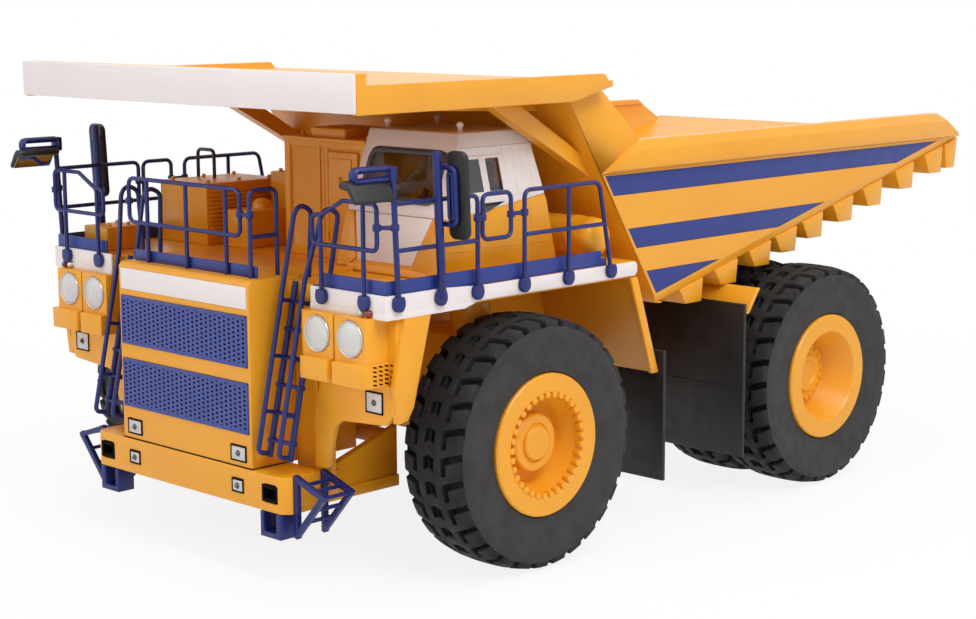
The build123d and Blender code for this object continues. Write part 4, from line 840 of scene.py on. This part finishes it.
def slot_sheet(low_z, high_z):
    """Sheet of a grille: columns of shallow slots, every other one half a step higher, their floors painted
    near black as painted shade for the depth of a perforation.
    """
    step_y, step_z = 2 * sheet_half_y / slot_columns, (high_z - low_z - 0.6) / (slot_rows + 0.5)
    clear()
    bpy.ops.mesh.primitive_grid_add(x_subdivisions=3, y_subdivisions=3)
    cell = bpy.context.object
    for index, vertex in enumerate(cell.data.vertices):
        row, column = divmod(index, 4)
        vertex.co = Vector((0, slot_edges[column] * step_y, slot_edges[row] * step_z)) * MM
    for paint in ("grille_blue", "near_black_and_painted_shade"):
        cell.data.materials.append(finish[paint])
    choose(cell, lambda face: face.index == 4)
    push((-0.4, 0, 0))
    leave()
    for face in cell.data.polygons:
        points = [cell.data.vertices[number].co / MM for number in face.vertices]
        inner = all(abs(point.y / step_y - 0.5) < 0.3 and 0.2 < point.z / step_z < 0.8 for point in points)
        # pit floors near black: painted shade for the slot's depth
        face.material_index = 1 if inner else 0
    places = []
    for column in range(slot_columns):
        for row in range(slot_rows):
            low = low_z + 0.3 + step_z * (row + 0.5 * (column % 2))
            places.append((sheet_x, -sheet_half_y + step_y * column, low))
    edge, inside = sheet_half_y + 0.3, sheet_half_y - 0.1
    parts = [set_out("sheet", cell, places)]
    for low, high in ((low_z + 0.2, low_z + 0.3 + step_z / 2), (high_z - 0.3 - step_z / 2, high_z - 0.2)):
        parts.append(box((sheet_x - 0.6, -sheet_half_y, low), (sheet_x - 0.01, sheet_half_y, high), 0.02, 1))
    for low, high in (
        ((-edge, low_z), (-inside, high_z)), ((inside, low_z), (edge, high_z)),
        ((-edge, low_z), (edge, low_z + 0.4)), ((-edge, high_z - 0.4), (edge, high_z)),
    ):
        parts.append(box((sheet_x - 1.0, *low), (sheet_x + 0.12, *high), 0.12))
    for part in parts[1:]:
        part.data.materials.append(finish["grille_blue"])
    return joined("sheet", parts)


def add_grilles():
    sheets = [slot_sheet(low_z, high_z) for low_z, high_z in grille_heights]
    add_piece("grille_slots", sheets, "grilles", replaces=True)


# Square lamps: front x, middle y, middle z, half width, half height
lamp_rows = [
    (124.0, 20.6, 21.75, 2.0, 1.5), (123.6, 20.7, 29.5, 2.75, 1.8), (113.6, 57.6, 45.5, 2.7, 2.4),
]
knob_profile = [(0, 0.75), (0.35, 0.65), (0.5, 0.3), (0.55, 0), (0, 0)]


def about(x, y, z, half_y, half_z):
    """Lower rear and upper front corners of a block about a middle y and z."""
    return (x[0], y - half_y, z - half_z), (x[1], y + half_y, z + half_z)


def add_square_lamps():
    """Frames, pressed panes and knobs of the square lamps."""
    frames, panes, knobs = [], [], []
    for x, y, z, half_y, half_z in lamp_rows:
        low, high = about((x - 0.3, x + 0.3), y, z, half_y + 0.16, half_z + 0.16)
        frames.append(cup(low, high, (1, 0, 0), 0.3, 0.2, 0.1))
        knobs.append(spun(knob_profile, (x + 0.18, y, z), "x", 20))
        knobs.append(bar((x + 0.15, y, z), (x + 0.3, y, z), 0.8, 20, 0.05))
        panes.append(box(*about((x - 0.2, x + 0.22), y, z, half_y - 0.2, half_z - 0.2), 0.15))
    add_piece("lamp_frames", frames, "square_lamps", "near_black_and_painted_shade", pair=True)
    add_piece("lamp_panes", panes, "square_lamps", "lamp", pair=True, replaces=True)
    add_piece("lamp_knobs", knobs, "square_lamps", "lamp_knob", pair=True)


headlamp_x, headlamp_z = 118.6, 60.4
headlamps_y = (55.325, 44.075)
lens_profile = [(0, 0.85), (1.6, 0.75), (3.0, 0.5), (3.8, 0.2), (3.95, -0.4), (0, -0.4)]
bezel_profile = [(3.85, -0.3), (3.85, 0.22), (3.95, 0.36), (4.15, 0.36), (4.25, 0.2), (4.25, -0.3)]
marker_profile = [(0, 1.3), (0.5, 1.2), (0.8, 0.85), (0.85, 0), (0, 0)]


def add_headlamps():
    lenses, rims = [], []
    for y in headlamps_y:
        centre = (headlamp_x, y, headlamp_z)
        lenses.append(spun(lens_profile, centre, "x", 64, angle=40))
        rims.append(spun(bezel_profile, centre, "x", 64, angle=50))
    add_piece("headlamp_domes", lenses, "headlamp_lenses", "lamp", pair=True, replaces=True)
    add_piece("headlamp_rims", rims, "headlamp_lenses", "lens_rim", pair=True)


def add_marker_lamps():
    for name, y, paint in (("marker_lamp_clear", 57.2, "lens_rim"), ("marker_lamp_red", 59.7, "lamp_red")):
        lamp = spun(marker_profile, (fascia_front_x, y, 66.3), "x", 28, angle=50)
        add_piece(name, [lamp], "deck_fascia", paint, pair=True)


def add_nose_details():
    """Bumper pockets and the seam over the bumper, painted near black: painted shade in the pockets and in
    the seam's gap.
    """
    pockets = [cup((121.2, y - 2.9, 19.7), (124.06, y + 2.9, 23.8), (1, 0, 0), 0.8, 2.6, 0.03)
               for y in (-32.4, 32.4)]
    add_piece("bumper_pockets", pockets, "bumper", "near_black_and_painted_shade")
    low_z, high_z = 26.2, 26.5
    seam = [box((start_x, start_y, low_z), (end_x, end_y, high_z), 0.05, 1)
            for start_x, start_y, end_x, end_y in (
                (123.3, -25.7, 123.72, 25.7), (112.0, 25.6, 123.6, 25.78), (112.0, -25.78, 123.6, -25.6))]
    add_piece("bumper_seam", seam, "radiator_housing", "near_black_and_painted_shade")


# Wings

def add_louvres():
    """Slanted louvre slots on the outer side of each lower box, flat plates painted near black as painted
    shade of the openings.
    """
    slots = []
    for row in range(5):
        for column in range(4):
            x, z = 111.0 + 1.75 * column, 50.1 + 1.0 * row
            shape = [(x, z), (x + 1.15, z + 0.22), (x + 1.3, z + 0.72), (x + 0.15, z + 0.5)]
            slots.append(plate(shape, "y", (61.3, 61.56), 0.06, 1))
    ground = box((110.6, 61.0, 49.9), (117.9, 61.52, 54.9), 0.1, 1)
    add_piece("louvre_slots", slots, "front_fenders", "near_black_and_painted_shade", pair=True)
    add_piece("louvre_plates", [ground], "front_fenders", "yellow_plastic", pair=True)


def add_wing_walls():
    """Wall behind each ladder and the deeper front of the white fascia."""
    wall = [
        plate([(26.0, 22.0), (38.2, 22.0), (38.8, 40.0), (41.0, 49.8), (41.0, 65.8), (26.0, 65.8)], "x",
              (108.6, 110.2), 0.3),
        box((110.0, 33.6, 29.0), (110.9, 34.6, 65.6), 0.25),
    ]
    add_piece("ladder_walls", wall, "front_fenders", "yellow_plastic", pair=True)
    lip = [
        plate([(116.3, 66.6), (87.0, 66.6), (92.0, 65.2), (116.3, 65.2)], "y", (64.2, 65.04), 0.12),
        box((115.6, 39.2, 65.2), (116.44, 65.0, 66.6), 0.12),
    ]
    add_piece("fascia_lips", lip, "deck_fascia", "white_paint", pair=True)


def add_arch_and_flap_details():
    """Dark disc in each arch wall, painted shade where a hole would be, and a ridge across both faces of
    each rear flap.
    """
    add_piece("arch_wall_holes", [bar((23.5, 62.9, 42.4), (23.9, 62.9, 42.3), 0.5, 20, 0.05)], "arch_walls",
              "near_black_and_painted_shade", pair=True)
    ridges = [box((rear_x, 33.9, 32.2), (front_x, 69.4, 32.55), 0.1)
              for rear_x, front_x in ((-6.95, -6.72), (-8.2, -7.95))]
    add_piece("flap_ridges", ridges, "rear_flaps", "black_plastic", pair=True)


# Cab, whose front and outer side lean in above its belt

cab_floor_z, cab_belt_z, cab_top_z = 70.0, 86.0, 103.8
belt_x = 86.0
front_slope = (79.0 - belt_x) / (cab_top_z - cab_belt_z)
lower_slope = (belt_x - 90.6) / (cab_belt_z - cab_floor_z)
side_slope = (50.0 - 54.5) / (cab_top_z - cab_belt_z)
side_frame_y = 54.55
lifting_knob = [
    (0, 2.5), (0.45, 2.4), (0.85, 1.95), (0.9, 1.5), (0.6, 1.1), (0.5, 0.5), (0.75, 0.1), (0.75, -0.2),
    (0, -0.2),
]


def on_side(piece):
    """Leans a piece inward with the cab's outer side."""
    return leaned(piece, side_slope, cab_belt_z, "y")


def add_cab_windows():
    """Gasket and wiper on the windscreen; frames, cover panel, seams and panes on the side, the panes
    painted dark as painted shade of the cab behind the glass.
    """
    gasket = tube(in_plane("x", belt_x, rounded((22.2, 87.6), (48.0, 99.0), 2.2)), 0.8, closed=True, sides=2)
    parts = [
        flattened(gasket, "x", belt_x, 0.55),
        bar((86.6, 33.0, 87.4), (86.6, 40.5, 95.2), 0.22, 10),
        bar((86.75, 38.2, 91.0), (86.75, 42.6, 98.2), 0.16, 8),
    ]
    parts = [leaned(part, front_slope, cab_belt_z) for part in parts]
    add_piece("windscreen_gasket", parts, "cab_upper", "window_frame")
    parts = []
    for low, high in ((67.0, 72.5), (73.7, 79.4)):
        bent = in_plane("y", side_frame_y, rounded((low, 89.4), (high, 98.0), 0.6, 3))
        parts.append(flattened(tube(bent, 0.5, closed=True, sides=2), "y", side_frame_y, 0.6))
    parts += [
        plate([(57.0, 88.4), (66.9, 88.4), (66.9, 99.0), (57.0, 99.0)], "y", (54.2, 54.62), 0.1),
        box((72.5, 54.1, 89.0), (73.7, 54.62, 98.4), 0.1),
        box((54.8, 54.3, 100.0), (79.4, 54.8, 100.25), 0.08),
    ]
    for x in (56.8, 59.6, 62.4, 65.4):
        parts.append(box((x, 54.35, 88.6), (x + 0.25, 54.74, 99.9), 0.06, 1))
    add_piece("side_frames", [on_side(part) for part in parts], "cab_upper", "white_paint")
    # Panes laid over the wall, painted dark: painted shade for the cab behind the glass
    panes = [
        plate(rounded((74.0, 89.6), (79.2, 97.8), 0.5, 3), "y", (54.3, 54.6), 0.06, 1),
        plate([(75.0, 87.2), (67.6, 87.2), (75.0, 84.9)], "y", (54.3, 54.62), 0.06, 1),
    ]
    add_piece("door_panes", [on_side(pane) for pane in panes], "cab_glass", "dark_pane_painted_shade")


def add_cab_details():
    """Lifting knobs, corner panels beside the white front panel, and the door's seams and handle."""
    knobs = [spun(lifting_knob, (x, y, cab_top_z), "z", 28, angle=50)
             for x in (58.5, 75.5) for y in (21.8, 47.0)]
    add_piece("cab_lifting_knobs", knobs, "cab_upper", "white_paint")
    panels = [plate(points, "x", (90.0, 91.1), 0.3) for points in (
        [(49.7, 84.0), (54.45, 84.0), (54.45, 71.0), (51.4, 71.0), (45.6, 73.0)],
        [(21.6, 84.0), (18.85, 84.0), (18.85, 71.0), (22.4, 71.0), (25.4, 73.0)],
    )]
    panels.append(box((90.0, 22.6, 70.2), (91.0, 51.2, 71.9), 0.25))
    panels = [leaned(panel, lower_slope, cab_floor_z) for panel in panels]
    add_piece("cab_corner_panels", panels, "cab_lower", "yellow_plastic")
    seams = [box((x, 54.4, 71.2), (x + 0.25, 54.62, 85.2), 0.06, 1) for x in (58.6, 76.2)]
    seams.append(box((52.0, 54.4, 76.4), (88.0, 54.6, 76.62), 0.06, 1))
    seams.append(box((73.4, 54.45, 79.0), (75.2, 54.95, 79.7), 0.15))
    add_piece("cab_door_seams", seams, "cab_lower", "yellow_plastic")


# Boxes and tank on the deck

slat_count, first_slat_z, slat_step = 12, 72.4, 1.1
tank_x, tank_z = 41.5, 76.5


def bolts_on(xs, ys, z):
    """Rows of hexagon heads on a top at a height."""
    return [bar((x, y, z - 0.2), (x, y, z + 0.8), 0.55, 6, 0.12) for y in ys for x in xs]


def add_cabinet_details():
    """Door with its raised panel and knob, seams, hinges, roof edge and the box on the top."""
    pieces = [
        box((79.4, 4.4, 73.2), (80.3, 15.4, 97.2), 0.3),
        box((80.2, 6.4, 75.4), (80.75, 13.6, 95.6), 0.3),
        spun([(0, 0.9), (0.5, 0.75), (0.7, 0.2), (0.7, -0.1), (0, -0.1)], (80.75, 9.6, 90.4), "x", 24),
        box((66.0, -4.0, 100.1), (78.6, 9.0, 103.0), 0.5, 3),
        box((45.2, -13.3, 99.4), (80.35, 18.4, 100.5), 0.25),
    ]
    pieces += [box((79.7, y, 71.4), (80.2, y + 0.55, 98.6), 0.15) for y in (-11.2, 0.6, 2.2)]
    pieces += [bar((80.3, 4.2, z - 0.9), (80.3, 4.2, z + 0.9), 0.32, 12, 0.08) for z in (76.0, 94.2)]
    pieces += bolts_on((50.0, 76.0), (-10.0, 15.0), 100.5)
    add_piece("cabinet_doors", pieces, "control_cabinet", "yellow_plastic")


def add_intake_details():
    """Slats on the intake's inner side, bolts on the boxes, cap, hoop and pipe rail."""
    pieces = []
    for index in range(slat_count):
        z = first_slat_z + slat_step * index
        slat = [(-38.7, z), (-37.9, z - 0.25), (-37.9, z + 0.1), (-38.7, z + 0.6)]
        pieces.append(plate(slat, "x", (61.5, 85.0), 0.06, 1))
    pieces += bolts_on((62.5, 73.0, 83.5), (-56.5, -41.0), 86.5)
    pieces += bolts_on((52.0, 64.0), (-34.0, -20.7), 88.8)
    pieces += bolts_on((102.5, 108.5), (-56.0, -51.0), 76.2)
    cap = [(0, 2.6), (1.6, 2.3), (2.6, 1.4), (2.8, 0), (2.8, -0.3), (0, -0.3)]
    pieces.append(spun(cap, (74.5, -29.3, 80.0), "z", 40, angle=50))
    hoop = in_plane("x", 58.0, ((-30.0, 88.6), (-30.0, 91.2), (-24.0, 91.2), (-24.0, 88.6)))
    pieces.append(tube(hoop, 1.2, 1.6))
    add_piece("intake_slats", pieces, "intake_boxes", "yellow_plastic")
    rail = in_plane("x", 74.0, ((-57.6, 86.3), (-57.6, 94.2), (-50.4, 94.2), (-50.4, 86.3)))
    add_piece("intake_pipe_rail", [tube(rail, 0.5, 1.4)], "intake_boxes", "grip_black")


def add_air_tank():
    """Tank with domed ends, and its straps and saddles."""
    shell = [(0, 29.6), (2.8, 30.0), (4.4, 30.9), (5.0, 32.2), (5.0, 59.0), (4.8, 60.3), (3.9, 61.4),
             (2.2, 62.0), (0, 62.1)]
    strap = [(4.9, -0.8), (5.2, -0.8), (5.2, 0.8), (4.9, 0.8)]
    pieces = [spun(shell, (tank_x, 0, tank_z), "y", 64, angle=50)]
    for y in (36.0, 54.0):
        pieces.append(spun(strap, (tank_x, y, tank_z), "y", 64, angle=40))
        pieces.append(box((tank_x - 2.7, y - 1.6, 70.0), (tank_x + 2.7, y + 1.6, 73.4), 0.3))
    add_piece("tank_turned", pieces, "air_tank", "yellow_plastic", replaces=True)


# Axles, steering and hoist cylinders, turned round where the solids are many-sided

kingpin_y = 45.5
spindle_radius = 4.95
strut_x, strut_y = -58.3, 22.6
hoist_foot = Vector((-11.0, 26.0, 20.0))
hoist_head = Vector((-6.0, 26.0, 58.0))
hoist_way = (hoist_head - hoist_foot).normalized()
strut_housing = [
    (2.95, 0), (5.2, 0), (5.3, 0.5), (5.3, 3.0), (5.0, 3.4), (5.0, 22.5), (4.4, 23.0), (0, 23.0), (0, 12.4),
    (2.95, 12.4),
]
axle_drum = [(0, -12.0), (11.2, -12.0), (12.2, -11.0), (12.2, 11.0), (11.2, 12.0), (0, 12.0)]
axle_casing = [
    (0, -31.2), (10.4, -31.2), (11.0, -30.6), (11.0, -14.0), (10.4, -13.4),
    (10.4, 13.4), (11.0, 14.0), (11.0, 30.6), (10.4, 31.2), (0, 31.2),
]


def add_axles():
    """Front beam with its strut housings, rear axle with its drum, and the rear struts."""
    front = [box((64.0, -kingpin_y, 42.0), (78.0, kingpin_y, 55.0), 0.5, 3)]
    front += [spun(strut_housing, (front_axle_x, y, 40.0), "z", 48) for y in (-kingpin_y, kingpin_y)]
    add_piece("front_axle_turned", front, "front_axle", "yellow_metal", replaces=True)
    centre = (rear_axle_x, 0, axle_z)
    rear = [
        spun(axle_drum, centre, "y", 72),
        spun(axle_casing, centre, "y", 72),
        bar((rear_axle_x, -62.0, axle_z), (rear_axle_x, 62.0, axle_z), spindle_radius, 48, 0.3),
        box((rear_axle_x + 3.5, -3.5, 27.1), (0, 3.5, 34.1), 0.4),
    ]
    add_piece("rear_axle_turned", rear, "rear_axle", "yellow_metal", replaces=True)
    struts = [
        bar((strut_x, strut_y, 34.6), (strut_x, strut_y, 42.4), 2.1, 32, 0.1),
        bar((strut_x, strut_y, 42.0), (strut_x, strut_y, 50.0), 3.2, 40, 0.4),
    ]
    add_piece("rear_struts_turned", struts, "rear_struts", "yellow_metal", pair=True, replaces=True)


def add_knuckles():
    """Kingpin, spindle and steering arm with its pin, on each side."""
    x = front_axle_x
    for side, hand in ((1, "left"), (-1, "right")):
        y = side * kingpin_y
        parts = [
            bar((x, y, 23.5), (x, y, 39.7), 4.6, 48, 0.5),
            bar((x, y, 39.0), (x, y, 52.0), 2.75, 32, 0.3),
            bar((x, y, axle_z), (x, side * 64.8, axle_z), spindle_radius, 48, 0.3),
            box((55.0, y - 2.0, 25.4), (x, y + 2.0, 27.8), 0.5, 3),
            bar((57.0, y, 22.7), (57.0, y, 25.9), 0.98, 20),
        ]
        add_piece("knuckle_turned_" + hand, parts, "knuckle_" + hand, "yellow_metal", replaces=True)


def hoist_bar(start, end, radius):
    """Round bar along a hoist cylinder's line, between two ways up from its foot."""
    return bar(hoist_foot + hoist_way * start, hoist_foot + hoist_way * end, radius, 48, 0.3)


def add_hoists():
    """Barrels with their foot eyes, middle stages, and rods with their head eyes."""
    eye = [(1.66, -2.5), (3.2, -2.5), (3.5, -2.2), (3.5, 2.2), (3.2, 2.5), (1.66, 2.5)]
    barrel = [hoist_bar(3.2, 33.0, 4.4), hoist_bar(30.6, 32.6, 4.6), spun(eye, hoist_foot, "y", 48)]
    add_piece("hoist_barrels_turned", barrel, "hoist_barrels", "yellow_plastic", pair=True, replaces=True)
    add_piece("hoist_stages_turned", [hoist_bar(4.5, 35.0, 3.38)], "hoist_stages", "steel", pair=True,
              replaces=True)
    across = Vector((0, 2.0, 0))
    rod = [hoist_bar(5.5, (hoist_head - hoist_foot).length - 1, 2.38),
           bar(hoist_head - across, hoist_head + across, 2.9, 48, 0.3)]
    add_piece("hoist_rods_turned", rod, "hoist_rods", "steel", pair=True, replaces=True)


# The rest of the model, eased as moulded

usual_rounding = 0.2
# Rounding in mm where it isn't the usual one
rounding = {
    "canopy": 0.25, "canopy_band": 0.3, "dump_shell": 0.3, "dump_ribs": 0.45, "deck_fascia": 0.3,
    "cab_upper": 0.45, "cab_lower": 0.35, "cab_glass": 0.0, "intake_boxes": 0.6, "radiator_housing": 0.4,
    "bumper": 0.4, "front_fenders": 0.3, "dump_stripes": 0.08, "tow_hoops": 0.3, "bumper_steps": 0.22,
}


def add_carried():
    """Eased copies of the nodes that no piece above stands for."""
    for node in frame["nodes"]:
        if node not in stood_for:
            refined(node, rounding.get(node, usual_rounding))


add_camera()
add_world(0.34)
add_floor()
add_lamp("key", (0.24, 0.82, 0.95), (0, 0, 0.05), 0.55, 7.8)
add_lamp("fill", (0.95, -0.35, 0.6), (0, 0, 0.05), 0.8, 3.6)
add_lamp("top", (-0.1, 0.1, 1.1), (0, 0, 0), 0.9, 4.5)
add_tyres()
add_rims()
add_side_rails()
add_centre_rail()
add_ladders()
add_mirrors()
add_grilles()
add_square_lamps()
add_headlamps()
add_marker_lamps()
add_nose_details()
add_louvres()
add_wing_walls()
add_arch_and_flap_details()
add_cab_windows()
add_cab_details()
add_cabinet_details()
add_intake_details()
add_air_tank()
add_axles()
add_knuckles()
add_hoists()
add_carried()
bpy.context.scene.view_settings.view_transform = "Standard"
